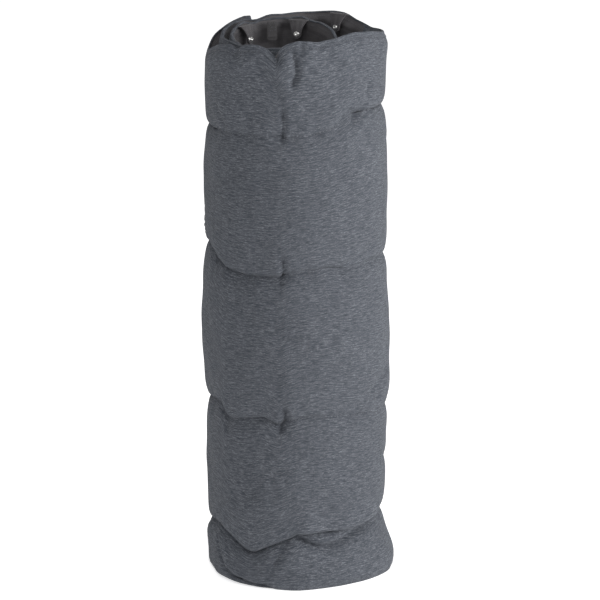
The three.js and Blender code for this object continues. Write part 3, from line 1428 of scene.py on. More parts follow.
@dataclass(frozen=True)
class Stitching:
    """A kind of stitch, sewn along wires by Geometry Nodes."""

    pitch: float = 0.0042
    length: float = 0.0028
    thickness: float = 0.0005

    def sew(
        self, name: str, wires: Sequence[Array], material: bpy.types.Material
    ) -> bpy.types.Object:
        """Sew stitches along wires.

        Args:
            name: The piece's name.
            wires: The points of each wire, in order.
            material: The thread's material.

        Returns:
            The stitches as one mesh.
        """
        points = np.concatenate(wires)
        edges: list[tuple[int, int]] = []
        first = 0
        for wire in wires:
            edges += [(first + i, first + i + 1) for i in range(len(wire) - 1)]
            first += len(wire)
        mesh = bpy.data.meshes.new(name + "_wire")
        mesh.from_pydata(points.tolist(), edges, [])
        wire_object = bpy.data.objects.new(name + "_wire", mesh)
        bpy.context.scene.collection.objects.link(wire_object)
        tree, sockets = self._tree(material)
        modifier = wire_object.modifiers.new("stitches", "NODES")
        modifier.node_group = tree
        modifier[sockets["Pitch"]] = self.pitch
        modifier[sockets["Stitch Length"]] = self.length
        modifier[sockets["Thread Thickness"]] = self.thickness
        bpy.context.view_layer.update()
        evaluated = wire_object.evaluated_get(bpy.context.evaluated_depsgraph_get())
        sewn = bpy.data.meshes.new_from_object(evaluated)
        wire_object.modifiers.remove(modifier)
        bpy.data.objects.remove(wire_object)
        sewn.name = name
        made = bpy.data.objects.new(name, sewn)
        bpy.context.scene.collection.objects.link(made)
        return made

    def _tree(self, material: bpy.types.Material) -> tuple[bpy.types.NodeTree, dict[str, str]]:
        """Build the node tree.

        Args:
            material: The thread's material.

        Returns:
            The tree, and the identifier of each input by its name.
        """
        tree = bpy.data.node_groups.new("stitch_row", "GeometryNodeTree")
        face = tree.interface
        face.new_socket(name="Geometry", in_out="INPUT", socket_type="NodeSocketGeometry")
        face.new_socket(name="Geometry", in_out="OUTPUT", socket_type="NodeSocketGeometry")
        names = {}
        for label in ("Pitch", "Stitch Length", "Thread Thickness"):
            socket = face.new_socket(name=label, in_out="INPUT", socket_type="NodeSocketFloat")
            names[label] = socket.identifier
        new, link = tree.nodes.new, tree.links.new
        given, result = new("NodeGroupInput"), new("NodeGroupOutput")
        curve = new("GeometryNodeMeshToCurve")
        evenly = new("GeometryNodeResampleCurve")
        evenly.mode = "LENGTH"
        tangent = new("GeometryNodeInputTangent")
        turn = new("FunctionNodeAlignRotationToVector")
        turn.axis = "Z"
        stitch = new("GeometryNodeMeshUVSphere")
        stitch.inputs["Segments"].default_value = 6
        stitch.inputs["Rings"].default_value = 4
        stitch.inputs["Radius"].default_value = 0.5
        size = new("ShaderNodeCombineXYZ")
        place = new("GeometryNodeInstanceOnPoints")
        real = new("GeometryNodeRealizeInstances")
        smooth = new("GeometryNodeSetShadeSmooth")
        paint = new("GeometryNodeSetMaterial")
        paint.inputs["Material"].default_value = material
        link(given.outputs["Geometry"], curve.inputs["Mesh"])
        link(curve.outputs["Curve"], evenly.inputs["Curve"])
        link(given.outputs["Pitch"], evenly.inputs["Length"])
        link(evenly.outputs["Curve"], place.inputs["Points"])
        link(stitch.outputs["Mesh"], place.inputs["Instance"])
        link(tangent.outputs["Tangent"], turn.inputs["Vector"])
        link(turn.outputs["Rotation"], place.inputs["Rotation"])
        link(given.outputs["Thread Thickness"], size.inputs["X"])
        link(given.outputs["Thread Thickness"], size.inputs["Y"])
        link(given.outputs["Stitch Length"], size.inputs["Z"])
        link(size.outputs["Vector"], place.inputs["Scale"])
        link(place.outputs["Instances"], smooth.inputs["Geometry"])
        link(smooth.outputs["Geometry"], real.inputs["Geometry"])
        link(real.outputs["Geometry"], paint.inputs["Geometry"])
        link(paint.outputs["Geometry"], result.inputs["Geometry"])
        return tree, names


# ---- A length of quilt ------------------------------------------------------------------------


def spaced(start: float, end: float, spacing: Callable[[Array], Array], through: Sequence[float]) -> Array:
    """Places between two ends whose spacing changes on the way.

    Args:
        start: The first place.
        end: The last one.
        spacing: The wanted gap at each place.
        through: Places that must be among them.

    Returns:
        The places, in order.
    """
    fine = np.linspace(start, end, 6000)
    count = np.concatenate([[0.0], np.cumsum(np.diff(fine) / spacing((fine[1:] + fine[:-1]) / 2))])
    places = np.interp(np.linspace(0.0, count[-1], round(count[-1]) + 1), count, fine)
    for wanted in through:
        if start < wanted < end:
            places[1:-1][np.abs(places[1:-1] - wanted).argmin()] = wanted
    return places


@dataclass(frozen=True)
class Mesh:
    """How closely a cloth is divided, in metres."""

    along_front: float
    along_back: float
    up: float
    up_at_seams: float
    up_at_rim: float

    def turns(self, roll: Roll, start: float, end: float) -> Array:
        """Stations along the roll between two places in turns."""

        def gap(turn: Array) -> Array:
            """The spacing that the cloth wants at each place.

            Args:
                turn: Distances in turns from the free end.

            Returns:
                The spacing wanted there.
            """
            face = np.abs(roll.face_angle(turn))
            front = (1.0 - smoothstep(face, 96.0, 112.0)) * (turn < 1.0)
            size = self.along_back + (self.along_front - self.along_back) * front
            return size / (2 * math.pi * np.maximum(roll.mid_radius(turn), 0.008))

        return spaced(start, end, gap, ())

    def levels(self, roll: Roll) -> Array:
        """Levels from the bottom of the flat quilt to its top."""

        def gap(level: Array) -> Array:
            """The spacing that the cloth wants at each place.

            Args:
                level: Levels on the flat quilt.

            Returns:
                The spacing wanted there.
            """
            near = np.clip(sum(swell(level, seam, 0.018) for seam in roll.seams), 0.0, 1.0)
            size = self.up + (self.up_at_seams - self.up) * near
            top = smoothstep(level, roll.width - 0.060, roll.width - 0.030)
            return size + (np.minimum(size, self.up_at_rim) - size) * top

        return spaced(0.0, roll.width, gap, roll.seams)


FINE = Mesh(0.0025, 0.0064, 0.0046, 0.0016, 0.0024)
PLAIN = Mesh(0.0052, 0.0080, 0.0090, 0.0045, 0.0024)
COARSE = Mesh(0.0090, 0.0090, 0.0095, 0.0060, 0.0060)


@dataclass
class Surface:
    """One face of a length of quilt, as a grid of points."""

    roll: Roll
    side: Side
    turn: Array
    level: Array
    grid: Array = field(init=False)

    def __post_init__(self) -> None:
        """Work the points out."""
        offset = self.roll.shell_offset if self.side is Side.SHELL else self.roll.lining_offset
        turn, level = self.turn[:, None], self.level[None, :]
        self.grid = self.roll.points(turn, offset(turn, level), self.roll.heights(turn, level))

    def settle(self) -> None:
        """Let the last turn's cloth find its own folds between the seams."""
        face = self.roll.face_angle(self.turn)
        held = sum(
            np.exp(-np.abs(self.level - line.level)[None, :] / 0.0025)
            * np.clip(line.depth(face) / 0.0042, 0.0, 1.0)[:, None] ** 2
            for line in SEAM_LINES
        )
        rows, columns = np.arange(len(self.turn)), np.arange(len(self.level))
        ends = np.exp(-np.minimum(rows, rows[::-1]) / 3.0)
        edges = np.exp(-np.minimum(columns, columns[::-1]) / 1.5)
        held = np.maximum(np.maximum(held, ends[:, None]), edges[None, :])
        self.grid = ClothSolver().settle(self.grid, held)

    def uv(self) -> Array:
        """Metres of flat cloth for each grid point."""
        length = self.roll.length_along(self.turn)
        return np.stack(np.meshgrid(length, self.level, indexing="ij"), axis=-1)

    def cloth(self, name: str, material: bpy.types.Material) -> bpy.types.Object:
        """The sheet of cloth on this face."""
        if self.side is Side.SHELL:
            return cloth_sheet(name, self.grid, self.roll.cloth, self.uv(), material)
        return cloth_sheet(name, self.grid[::-1], self.roll.cloth, self.uv()[::-1], material)

    def wire(self, level: float, lift: float) -> Array:
        """A line along the cloth, a little off its face.

        Args:
            level: Its level on the flat quilt.
            lift: Its distance from the cloth.

        Returns:
            The line's points.
        """
        low = int(np.clip(np.searchsorted(self.level, level) - 1, 0, len(self.level) - 2))
        share = (level - self.level[low]) / (self.level[low + 1] - self.level[low])
        line = self.grid[:, low] * (1 - share) + self.grid[:, low + 1] * share
        return line + grid_normals(self.grid)[:, low] * self.side.value * lift


@dataclass
class QuiltLength:
    """One length of the quilt: both cloths, the batting, the quilting and the hems."""

    roll: Roll
    finishes: Finishes
    prefix: str
    attach: Callable[[bpy.types.Object], None]
    shell_spans: tuple[tuple[str, float, float, Mesh], ...]
    ends_at: float
    shells: list[Surface] = field(init=False)
    lining: Surface = field(init=False)

    def build(self) -> None:
        """Make and dress every piece of this length."""
        self._cloths()
        self._batting()
        self._quilting()
        hems = self._hems()
        binding = self._end_seam()
        self._declare_shells(hems, binding)

    def _declare_shells(self, hems: list[bpy.types.Object], binding: bpy.types.Object) -> None:
        """Work out which hems and binding are sewn on each shell cloth, and its flat size; nothing is done
        with them.

        Args:
            hems: The bands along the upper and lower edge.
            binding: The band over this length's end.
        """
        bound = 0 if self.ends_at == self.start else len(self.shell_spans) - 1
        for number, (name, start, end, _) in enumerate(self.shell_spans):
            sewn = (hems if number == 0 else []) + ([binding] if number == bound else [])
            flat = (self.roll.width, self._outer_length(start, end))

    @property
    def start(self) -> float:
        """Where this length starts, in turns from the free end."""
        return self.shell_spans[0][1]

    @property
    def end(self) -> float:
        """Where it ends."""
        return self.shell_spans[-1][2]

    def _add(self, piece: bpy.types.Object, slot: str, *nodes: str) -> None:
        """Hide the CAD nodes that a finished piece stands for, and pass the piece to this length's attach
        function.

        Args:
            piece: The piece.
            slot: The name of its material slot, which is not used.
            nodes: The CAD nodes that it stands for.
        """
        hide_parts(*nodes)
        self.attach(piece)
        log.info("%s: %d faces", piece.name, len(piece.data.polygons))

    def _cloths(self) -> None:
        """The shell and the lining."""
        roll = self.roll
        self.shells = []
        for name, start, end, mesh in self.shell_spans:
            surface = Surface(roll, Side.SHELL, mesh.turns(roll, start, end), mesh.levels(roll))
            if end <= 1.1 and start > 0.0 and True:
                surface.settle()
            self.shells.append(surface)
            shell = surface.cloth(name, self.finishes.shell)
            self._add(shell, "shell_fabric", f"{self.prefix}_shell")
        self.lining = Surface(roll, Side.LINING, PLAIN.turns(roll, self.start, self.end), PLAIN.levels(roll))
        lining = self.lining.cloth(f"{self.prefix}_lining_cloth", self.finishes.lining)
        self._add(lining, "lining_fabric", f"{self.prefix}_lining")
        self._inner_length(self.start, self.end)

    def _face_length(self, start: float, end: float, side: float) -> float:
        """The length of cloth between two places, at half the loft from the middle.

        Args:
            start: The first place, in turns.
            end: The last place, in turns.
            side: 1 for the shell, -1 for the lining.

        Returns:
            The length in metres.
        """
        turn = np.linspace(start, end, 4000)
        path = self.roll.points(turn, self.roll.half_loft(turn) * side, np.zeros_like(turn))
        return float(np.linalg.norm(np.diff(path, axis=0), axis=1).sum())

    def _outer_length(self, start: float, end: float) -> float:
        """The length of shell between two places."""
        return self._face_length(start, end, 1.0)

    def _inner_length(self, start: float, end: float) -> float:
        """The length of lining between two places."""
        return self._face_length(start, end, -1.0)

    def _batting(self) -> None:
        """The padded filling of each channel."""
        roll = self.roll
        turn = COARSE.turns(roll, self.start, self.end)[1:-1]
        edges = (roll.hem, *roll.seams, roll.width - 1.6 * roll.hem)
        for number, (low, high) in enumerate(zip(edges, edges[1:]), start=1):
            level = np.linspace(low + 0.0035, high - 0.0035, round((high - low) / 0.009) + 3)
            outer, inner = roll.pad_offsets(turn[:, None], level[None, :])
            heights = roll.heights(turn[:, None], level[None, :])
            top, under = (roll.points(turn[:, None], offset, heights) for offset in (outer, inner))
            top, under = self._under_shell(turn, top, under)
            length = roll.length_along(turn)
            uv = np.stack(np.meshgrid(length, level, indexing="ij"), axis=-1)
            pad = two_layers(f"{self.prefix}_batting_{number}", top, under, uv, self.finishes.batting)
            self._add(pad, "batting", f"{self.prefix}_filling_{number}")

    def _under_shell(self, turn: Array, top: Array, under: Array) -> tuple[Array, Array]:
        """Press a pad under the last turn's shell as it really lies.

        Args:
            turn: The pad's stations along the roll.
            top: Its outer face.
            under: Its inner face.

        Returns:
            Both faces, clear of the shell.
        """
        roll = self.roll
        core = roll.shift() - np.array([roll.core_shift, 0.0])
        for row, place in enumerate(turn):
            reach = roll.pad_reach / (2 * math.pi * max(float(roll.mid_radius(place)), 0.008))
            near = [s.grid[np.abs(s.turn - place) < reach].reshape(-1, 3) for s in self.shells]
            cloth = np.concatenate(near)
            if place > LAST_TURN_ENDS or not len(cloth):
                continue
            away = np.linalg.norm(cloth[:, :2] - core, axis=1)
            beside = np.abs(cloth[None, :, 2] - top[row][:, 2:3]) < roll.pad_reach
            limit = np.where(beside, away[None, :], np.inf).min(axis=1) - 0.0012
            for face, spare in ((top, 0.0), (under, 0.0004)):
                flat = face[row][:, :2] - core
                radius = np.linalg.norm(flat, axis=1)
                face[row][:, :2] = core + flat * (np.minimum(radius, limit - spare) / radius)[:, None]
        return top, under

    def _quilting(self) -> None:
        """The rows of stitches that close the channels."""
        for number, seam in enumerate(self.roll.seams, start=1):
            wires = [surface.wire(seam, 0.0001) for surface in (*self.shells, self.lining)]
            name = f"{self.prefix}_quilting_stitches_{number}"
            sewn = Stitching().sew(name, wires, self.finishes.thread)
            self._add(sewn, "thread", f"{self.prefix}_quilting_{number}")

    def _rolled_in(self, turn: Array) -> Array:
        """How far the upper hem reaches down the lining; at the right back it is rolled in.

        Args:
            turn: Distances in turns from the free end.

        Returns:
            Distances down the lining.
        """
        face = self.roll.face_angle(turn)
        there = smoothstep(face, 96.0, 108.0) * (1.0 - smoothstep(face, 117.0, 127.0))
        return 0.0008 + 0.0300 * there * (turn > 0.5) * (turn < 0.9)

    def _hem_band(self, name: str, level: float, upwards: bool) -> bpy.types.Object:
        """The shell's cloth, turned over an edge of the quilt.

        Args:
            name: The piece's name.
            level: The edge's level on the flat quilt.
            upwards: Whether the edge is the upper one.

        Returns:
            The band.
        """
        roll = self.roll
        stations = np.concatenate([surface.turn[min(i, 1) :] for i, surface in enumerate(self.shells)])
        turn, away = stations[:, None], -1.0 if upwards else 1.0
        outer_level = level + away * np.linspace(0.0065, 0.0, 4)[None, :]
        leg = self._rolled_in(turn) if upwards else np.full_like(turn, 0.0060)
        inner_level = level + away * leg * np.linspace(0.0, 1.0, 6)[None, :]
        outside = roll.shell_offset(turn, outer_level) + 0.0006
        inside = roll.lining_offset(turn, inner_level) - 0.0006
        bend = np.linspace(0.0, np.pi, 7)[None, 1:-1]
        middle = (outside[:, -1:] + inside[:, :1]) / 2
        half = (outside[:, -1:] - inside[:, :1]) / 2
        crown = 0.0010 if upwards else 0.0
        edge_height = roll.heights(turn, np.full_like(turn, level))
        offsets = np.concatenate([outside, middle + half * np.cos(bend), inside], axis=1)
        over = edge_height + crown * np.sin(bend)
        legs = [roll.heights(turn, outer_level), over, roll.heights(turn, inner_level)]
        grid = roll.points(turn, offsets, np.concatenate(legs, axis=1))
        steps = np.linalg.norm(np.diff(grid, axis=1), axis=2)
        across = np.concatenate([np.zeros_like(turn), np.cumsum(steps, axis=1)], axis=1)
        along = np.broadcast_to(roll.length_along(stations)[:, None], across.shape)
        uv = np.stack([along, across + level], axis=-1)
        if upwards:
            return cloth_sheet(name, grid, 0.0005, uv, self.finishes.shell)
        return cloth_sheet(name, grid[::-1], 0.0005, uv[::-1], self.finishes.shell)

    def _hems(self) -> list[bpy.types.Object]:
        """The hem bands and their rows of stitches.

        Returns:
            The two bands.
        """
        roll = self.roll
        top = self._hem_band(f"{self.prefix}_top_hem_band", roll.width, True)
        self._add(top, "shell_fabric", f"{self.prefix}_top_hem")
        bottom = self._hem_band(f"{self.prefix}_bottom_hem_band", 0.0, False)
        self._add(bottom, "shell_fabric", f"{self.prefix}_bottom_hem")
        wires = [surface.wire(roll.width - 0.0050, 0.0008) for surface in (*self.shells, self.lining)]
        wires += [surface.wire(0.0050, 0.0008) for surface in (*self.shells, self.lining)]
        sewn = Stitching(0.0030, 0.0019, 0.00045).sew(
            f"{self.prefix}_hem_stitches", wires, self.finishes.thread
        )
        self._add(sewn, "thread")
        return [top, bottom]

    def _end_seam(self) -> bpy.types.Object:
        """The shell's cloth turned over the end of the quilt.

        Returns:
            The binding.
        """
        roll = self.roll
        edge, inward = (self.start, 1.0) if self.ends_at == self.start else (self.end, -1.0)
        around = 2 * math.pi * float(roll.mid_radius(edge))
        share = np.linspace(1.0, 0.0, 4)
        leg = edge + inward * (roll.hem / around) * share
        level = self.lining.level
        outside = roll.shell_offset(leg[:, None], level[None, :]) + 0.0007
        inside = roll.lining_offset(leg[::-1][:, None], level[None, :]) - 0.0007
        bend = np.linspace(0.0, np.pi, 7)[1:-1][:, None]
        middle, half = (outside[-1:] + inside[:1]) / 2, (outside[-1:] - inside[:1]) / 2
        over_turn = edge - inward * (0.5 * np.abs(half) / around) * np.sin(bend)
        ones = np.ones((1, len(level)))
        turn = np.concatenate([leg[:, None] * ones, over_turn, leg[::-1][:, None] * ones])
        offset = np.concatenate([outside, middle + half * np.cos(bend), inside])
        grid = roll.points(turn, offset, roll.heights(turn, level[None, :]))
        steps = np.linalg.norm(np.diff(grid, axis=0), axis=2)
        across = np.concatenate([np.zeros((1, len(level))), np.cumsum(steps, axis=0)])
        uv = np.stack([across, np.broadcast_to(level[None, :], across.shape)], axis=-1)
        if inward > 0.0:
            grid, uv = grid[::-1], uv[::-1]
        band = cloth_sheet(f"{self.prefix}_end_binding", grid, 0.0005, uv, self.finishes.shell)
        self._add(band, "shell_fabric", f"{self.prefix}_end_seam")
        return band


# ---- Fastenings --------------------------------------------------------------------------------


@dataclass(frozen=True)
class HangingFrame:
    """The place of a fastening: its root line, with the wall behind it."""

    origin: Vector
    along: Vector
    tilt: float = math.radians(11.0)

    def matrix(self) -> Matrix:
        """From the fastening's own axes: +X along the wall, +Y up and +Z off the wall.

        Returns:
            The matrix.
        """
        up = Vector((0.0, 0.0, 1.0))
        inwards = self.along.cross(up)
        turned = Matrix((self.along, up, inwards)).transposed().to_4x4()
        lean = Matrix.Rotation(-self.tilt, 4, "X")
        return Matrix.Translation(self.origin) @ turned @ lean

    def place(self, points: Array) -> Array:
        """Points given in the fastening's own axes, in the row frame."""
        matrix = np.array(self.matrix())
        return points @ matrix[:3, :3].T + matrix[:3, 3]

    @classmethod
    def of_joint(cls, name: str) -> "HangingFrame":
        """The frame of a tab, from its hinge."""
        joint = next(j for j in frame["joints"] if j["name"] == name)
        return cls(Vector(joint["pos_m"]), -Vector(joint["axis"]).normalized())


@dataclass(frozen=True)
class SnapTab:
    """A tongue of doubled lining with a press stud near its tip."""

    number: int
    finishes: Finishes
    root_width: float = 0.025
    tip_radius: float = 0.006
    length: float = 0.023
    thickness: float = 0.0020
    standoff: float = 0.003
    stem_radius: float = 0.0015
    flange_radius: float = 0.0036
    ring_radius: float = 0.0026

    @property
    def body(self) -> str:
        """The name of the body that the tab belongs to."""
        return f"snap_{self.number}"

    @property
    def frame(self) -> HangingFrame:
        """Where the tab hangs."""
        return HangingFrame.of_joint(f"snap_tab_{self.number}_hinge")

    def build(self) -> None:
        """Make the tab, its stitches, its stud and its backing ring."""
        self._tongue()
        self._edge_stitches()
        self._stud()
        self._backing()

    def _half_width(self, down: Array) -> Array:
        """Half the tab's width at a distance below its root.

        Args:
            down: Distances down from the root.

        Returns:
            Half widths.
        """
        straight = self.length - self.tip_radius
        share = np.clip(down / straight, 0.0, 1.0)
        waist = self.tip_radius + (self.root_width / 2 - self.tip_radius) * (1 - share) ** 1.9
        over = np.clip((down - straight) / self.tip_radius, 0.0, 1.0)
        return waist * np.sqrt(np.maximum(1.0 - over**2, 0.0004))

    def _curl(self, across: Array, down: Array) -> Array:
        """How far the tab's face bows off its flat plane.

        Args:
            across: Distances from the middle line.
            down: Distances down from the root.

        Returns:
            Distances off the wall.
        """
        bow = 0.0010 * np.sin(np.clip(down / self.length, 0, 1) * np.pi)
        wings = 0.0016 * (across / (self.root_width / 2)) ** 2 * (1 - np.clip(down / 0.014, 0, 1))
        return bow - wings + 0.0002 * np.sin(across * 900.0 + self.number)

    def _tongue(self) -> None:
        """The tab's cloth, with its root turned back to the lining."""
        straight = np.linspace(0.0, self.length - self.tip_radius, 18)
        rounded = self.length - self.tip_radius + self.tip_radius * np.sin(np.linspace(0.08, np.pi / 2, 10))
        down = np.concatenate([straight, rounded])[:, None]
        across = np.linspace(-1.0, 1.0, 21)[None, :] * self._half_width(down)
        edge = np.abs(across) / np.maximum(self._half_width(down), 1e-6)
        puffed = 0.0003 * (1 - edge**6) - 0.00025 * swell(edge, 0.80, 0.06)
        low = -down + 0 * across
        curl = self._curl(across, down)
        front = np.stack([across, low, self.thickness + puffed + curl], axis=-1)
        back = np.stack([across, low, 0 * across + curl], axis=-1)
        wide = np.linspace(-1.0, 1.0, 21) * self.root_width / 2
        root_curl = self._curl(wide, 0 * wide)
        fronts, backs = [], []
        for share in (1.0, 0.5):
            bent = wide * (1.0 + 0.06 * share)
            front_lift = self.thickness - (self.standoff + 0.0022) * share + root_curl
            back_lift = -(self.standoff + 0.0015) * share + root_curl
            fronts.append(np.stack([bent, np.full(21, 0.0015 * share), front_lift], axis=-1))
            backs.append(np.stack([bent, np.full(21, -0.0004 * share), back_lift], axis=-1))
        front = np.concatenate([fronts, front])
        back = np.concatenate([backs, back])
        uv = front[..., :2].copy()
        name = f"snap_tab_{self.number}_cloth"
        tab = two_layers(name, self.frame.place(front), self.frame.place(back), uv, self.finishes.lining)
        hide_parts(f"snap_tab_{self.number}")
        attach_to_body(tab, self.body)
        log.info("%s: %d faces", name, len(tab.data.polygons))

    def _edge_stitches(self) -> None:
        """A row of stitches inside the tab's edge."""
        straight_end, round_length = 0.0185, 0.0047
        rounded = straight_end + round_length * np.sin(np.linspace(0.1, np.pi / 2, 8))
        down = np.concatenate([np.linspace(0.001, straight_end, 22), rounded])
        half = self._half_width(down) * 0.80
        half[-1] = 0.0
        left = np.stack([-half, -down], axis=1)
        right = np.stack([half, -down], axis=1)[::-1][1:]
        line = np.concatenate([left, right])
        lift = self.thickness + 0.0002 + self._curl(line[:, 0], -line[:, 1])
        wire = self.frame.place(np.column_stack([line, lift]))
        name = f"snap_tab_{self.number}_stitches"
        sewn = Stitching(0.0026, 0.0017, 0.0004).sew(name, [wire], self.finishes.thread)
        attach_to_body(sewn, self.body)

    def _turned(self, name: str, profile: Array, closed: bool) -> bpy.types.Object:
        """A piece turned round the stud's axis.

        Args:
            name: The piece's name.
            profile: Radius and height of each corner, from the bottom up on the outside.
            closed: Whether the profile runs back to its first point instead of to the axis.

        Returns:
            The object.
        """
        segments = 48
        angle = np.arange(segments) / segments * 2 * np.pi
        centre = np.array([0.0, self.tip_radius - self.length])
        inner = profile if closed else profile[1:-1]
        ring = np.stack([np.cos(angle), np.sin(angle)], axis=1)
        points = [
            np.column_stack([ring * radius + centre, np.full(segments, height)])
            for radius, height in inner
        ]
        faces: list[tuple[int, ...]] = []
        for level in range(len(inner) if closed else len(inner) - 1):
            low, high = level * segments, ((level + 1) % len(inner)) * segments
            for i in range(segments):
                j = (i + 1) % segments
                faces.append((low + i, low + j, high + j, high + i))
        if not closed:
            count = len(inner) * segments
            points.append(np.array([[*centre, profile[0][1]], [*centre, profile[-1][1]]]))
            last = (len(inner) - 1) * segments
            for i in range(segments):
                j = (i + 1) % segments
                faces.append((count, j, i))
                faces.append((count + 1, last + i, last + j))
        made = new_mesh_object(name, self.frame.place(np.concatenate(points)), faces, self.finishes.nickel)
        made.data.polygons.foreach_set("use_smooth", np.ones(len(faces), bool))
        made.data.set_sharp_from_angle(angle=math.radians(50.0))
        return made

    @staticmethod
    def _rounded(corners: Sequence[tuple[float, float]], radius: float) -> Array:
        """A profile whose inner corners are replaced by small curves.

        Args:
            corners: The corners to round.
            radius: The radius to round them to.

        Returns:
            The rounded outline.
        """
        points = np.array(corners)
        out = [points[0]]
        for before, corner, after in zip(points, points[1:], points[2:]):
            to, on = before - corner, after - corner
            reach = min(radius, 0.45 * np.linalg.norm(to), 0.45 * np.linalg.norm(on))
            first = corner + to / np.linalg.norm(to) * reach
            last = corner + on / np.linalg.norm(on) * reach
            for share in np.linspace(0.0, 1.0, 4):
                out.append((1 - share) ** 2 * first + 2 * share * (1 - share) * corner + share**2 * last)
        out.append(points[-1])
        return np.array(out)

    def _stud(self) -> None:
        """The stud: a stem, a flange and a raised ring with a dimple."""
        face = self.thickness + 0.0003
        top = face + 0.0007
        ring_top = top + 0.0016
        corners = [
            (0.0, -0.0011),
            (self.stem_radius, -0.0011),
            (self.stem_radius, face),
            (self.flange_radius, face),
            (self.flange_radius, top),
            (self.ring_radius, top),
            (self.ring_radius, ring_top),
            (0.0013, ring_top),
            (0.0011, ring_top - 0.0012),
            (0.0, ring_top - 0.0012),
        ]
        stud = self._turned(f"snap_stud_{self.number}_metal", self._rounded(corners, 0.0004), False)
        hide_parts(f"snap_stud_{self.number}")
        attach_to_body(stud, self.body)

    def _backing(self) -> None:
        """The ring behind the tab."""
        bore = self.stem_radius + 0.0003
        corners = [
            (bore, -0.0007),
            (bore, -0.0011),
            (self.flange_radius, -0.0011),
            (self.flange_radius, -0.0003),
            (bore, -0.0003),
            (bore, -0.0005),
        ]
        ring = self._turned(f"snap_backing_{self.number}_metal", self._rounded(corners, 0.0002), True)
        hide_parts(f"snap_backing_{self.number}")
        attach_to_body(ring, self.body)


@dataclass(frozen=True)
class HangerTape:
    """A folded tape, box-stitched to the lining between two of the tabs."""

    finishes: Finishes
    width: float = 0.012
    length: float = 0.023
    thickness: float = 0.0016
    bedding: float = 0.0012

    def build(self) -> None:
        """Make the tape and its box stitches."""
        low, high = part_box("hanger_tape")
        middle = (low + high) / 2
        outwards = Vector((middle.x + 0.020, middle.y - 0.0046, 0.0)).normalized()
        along = Vector((0.0, 0.0, 1.0)).cross(-outwards)
        hold = HangingFrame(Vector((middle.x, middle.y, high.z)), along)
        down = np.linspace(0.0, self.length, 26)[:, None]
        across = np.linspace(-1.0, 1.0, 13)[None, :] * self.width / 2
        fold = 0.0006 * swell(down, 0.0185, 0.0012) + 0.0005 * swell(down, 0.003, 0.0010)
        edge = -0.0003 * (np.abs(across) / (self.width / 2)) ** 8
        wide, low = across + 0 * down, -down + 0 * across
        behind = np.full_like(wide, -self.thickness / 2 - self.bedding)
        front = np.stack([wide, low, self.thickness / 2 + fold + edge], axis=-1)
        back = np.stack([wide, low, behind], axis=-1)
        uv = front[..., :2].copy()
        tape = two_layers("hanger_tape_cloth", hold.place(front), hold.place(back), uv, self.finishes.tape)
        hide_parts("hanger_tape")
        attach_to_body(tape, "roll")
        self._stitches(hold)

    def _stitches(self, hold: HangingFrame) -> None:
        """A box with a cross in it, at the top of the tape.

        Args:
            hold: The frame of the tape.
        """
        side, top, bottom = self.width * 0.36, -0.0015, -0.0110
        lift = self.thickness / 2 + 0.0005
        box = [(-side, top), (side, top), (side, bottom), (-side, bottom)]
        corners = np.array([*box, (-side, top), (side, bottom)])
        cross = np.array([(side, top), (-side, bottom)])
        wires = []
        for path in (corners, cross):
            dense = np.concatenate([np.linspace(a, b, 6)[:-1] for a, b in zip(path, path[1:])] + [path[-1:]])
            wires.append(hold.place(np.column_stack([dense, np.full(len(dense), lift)])))
        sewn = Stitching(0.0024, 0.0016, 0.0004).sew("hanger_tape_stitches", wires, self.finishes.thread)
        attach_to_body(sewn, "roll")


# ---- The whole quilt and its studio -------------------------------------------------------------


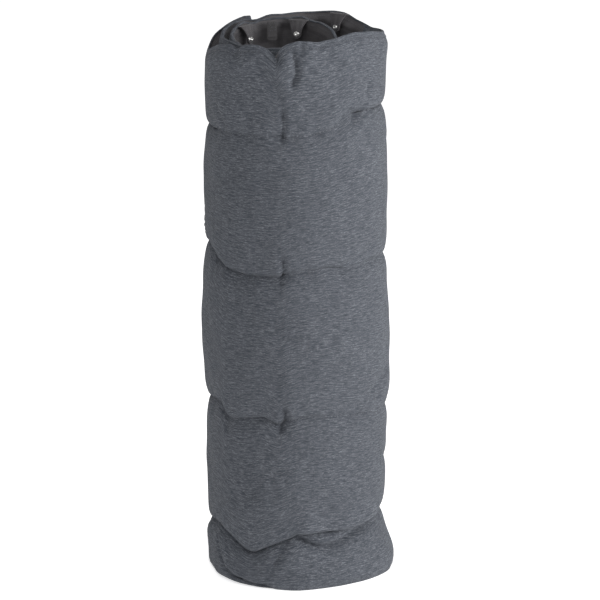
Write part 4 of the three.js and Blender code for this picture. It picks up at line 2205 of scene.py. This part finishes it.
@dataclass
class Quilt:
    """The rolled quilt."""

    roll: Roll = field(default_factory=Roll)
    bend_share: float = 0.18

    def build(self) -> None:
        """Build every piece in order."""
        finishes = Finishes.make()
        roll = self.roll
        split = roll.flap_turns * (1.0 + self.bend_share)
        flap_span = (("flap_shell_cloth", 0.0, split, PLAIN),)
        QuiltLength(roll, finishes, "flap", self._bend, flap_span, 0.0).build()
        rolled_spans = (
            ("roll_shell_cloth", split, LAST_TURN_ENDS, FINE),
            ("roll_inner_shell_cloth", LAST_TURN_ENDS, roll.turns, COARSE),
        )
        QuiltLength(roll, finishes, "roll", self._ride_roll, rolled_spans, roll.turns).build()
        for number in (1, 2, 3):
            SnapTab(number, finishes).build()
        HangerTape(finishes).build()

    def _ride_roll(self, piece: bpy.types.Object) -> None:
        """Let a piece stay with the roll."""
        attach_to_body(piece, "roll")

    def _bend(self, piece: bpy.types.Object) -> None:
        """Bake a flap piece's transform into its mesh; the places where the flap would hinge are worked out
        but not used.

        Args:
            piece: The piece.
        """
        roll = self.roll
        turn = np.array([roll.flap_turns * (1.0 + 0.9 * self.bend_share), roll.flap_turns * 0.80])
        places = roll.points(turn, np.zeros(2), np.zeros(2))
        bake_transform(piece)


@dataclass(frozen=True)
class Studio:
    """The camera, the floor and the lights."""

    distance: float = 4.2
    height: float = 1.40
    lens: float = 205.3
    aim: tuple[float, float, float] = (0.0063, 0.0, 0.350)

    def camera(self) -> None:
        """A long lens, a little above the top of the roll."""
        data = bpy.data.cameras.new("camera")
        data.lens = self.lens
        data.clip_end = 50.0
        made = bpy.data.objects.new("camera", data)
        bpy.context.scene.collection.objects.link(made)
        made.location = (self.aim[0], -self.distance, self.height)
        made.rotation_euler = (Vector(self.aim) - made.location).to_track_quat("-Z", "Y").to_euler()
        bpy.context.scene.camera = made

    def light(self, name: str, place: Sequence[float], size: float, power: float) -> None:
        """A square soft light that faces the roll.

        Args:
            name: Its name.
            place: Where it stands.
            size: Its width.
            power: Its power in watts.
        """
        data = bpy.data.lights.new(name, "AREA")
        data.size = size
        data.energy = power
        made = bpy.data.objects.new(name, data)
        bpy.context.scene.collection.objects.link(made)
        made.location = place
        made.rotation_euler = (Vector(self.aim) - made.location).to_track_quat("-Z", "Y").to_euler()

    def build(self) -> None:
        """Make the floor, the world and the lights."""
        floor = new_mesh_object(
            "studio_floor",
            np.array([[-12, -12, -0.0006], [12, -12, -0.0006], [12, 12, -0.0006], [-12, 12, -0.0006]]),
            [(0, 1, 2, 3)],
            StudioPaper().make(),
        )
        world = bpy.data.worlds.new("studio")
        bpy.context.scene.world = world
        world.use_nodes = True
        world.node_tree.nodes["Background"].inputs["Color"].default_value = (1.0, 1.0, 1.0, 1.0)
        world.node_tree.nodes["Background"].inputs["Strength"].default_value = 0.42
        self.light("key_light", (3.0, -1.2, 1.3), 2.2, 125.0)
        self.light("front_light", (-0.7, -2.8, 3.2), 1.8, 36.0)
        bpy.context.scene.view_settings.view_transform = "Standard"


def main() -> None:
    """Build the scene."""
    logging.basicConfig(level=logging.INFO, format="%(message)s")
    studio = Studio()
    studio.camera()
    Quilt().build()
    studio.build()


if __name__ == "__main__":
    main()
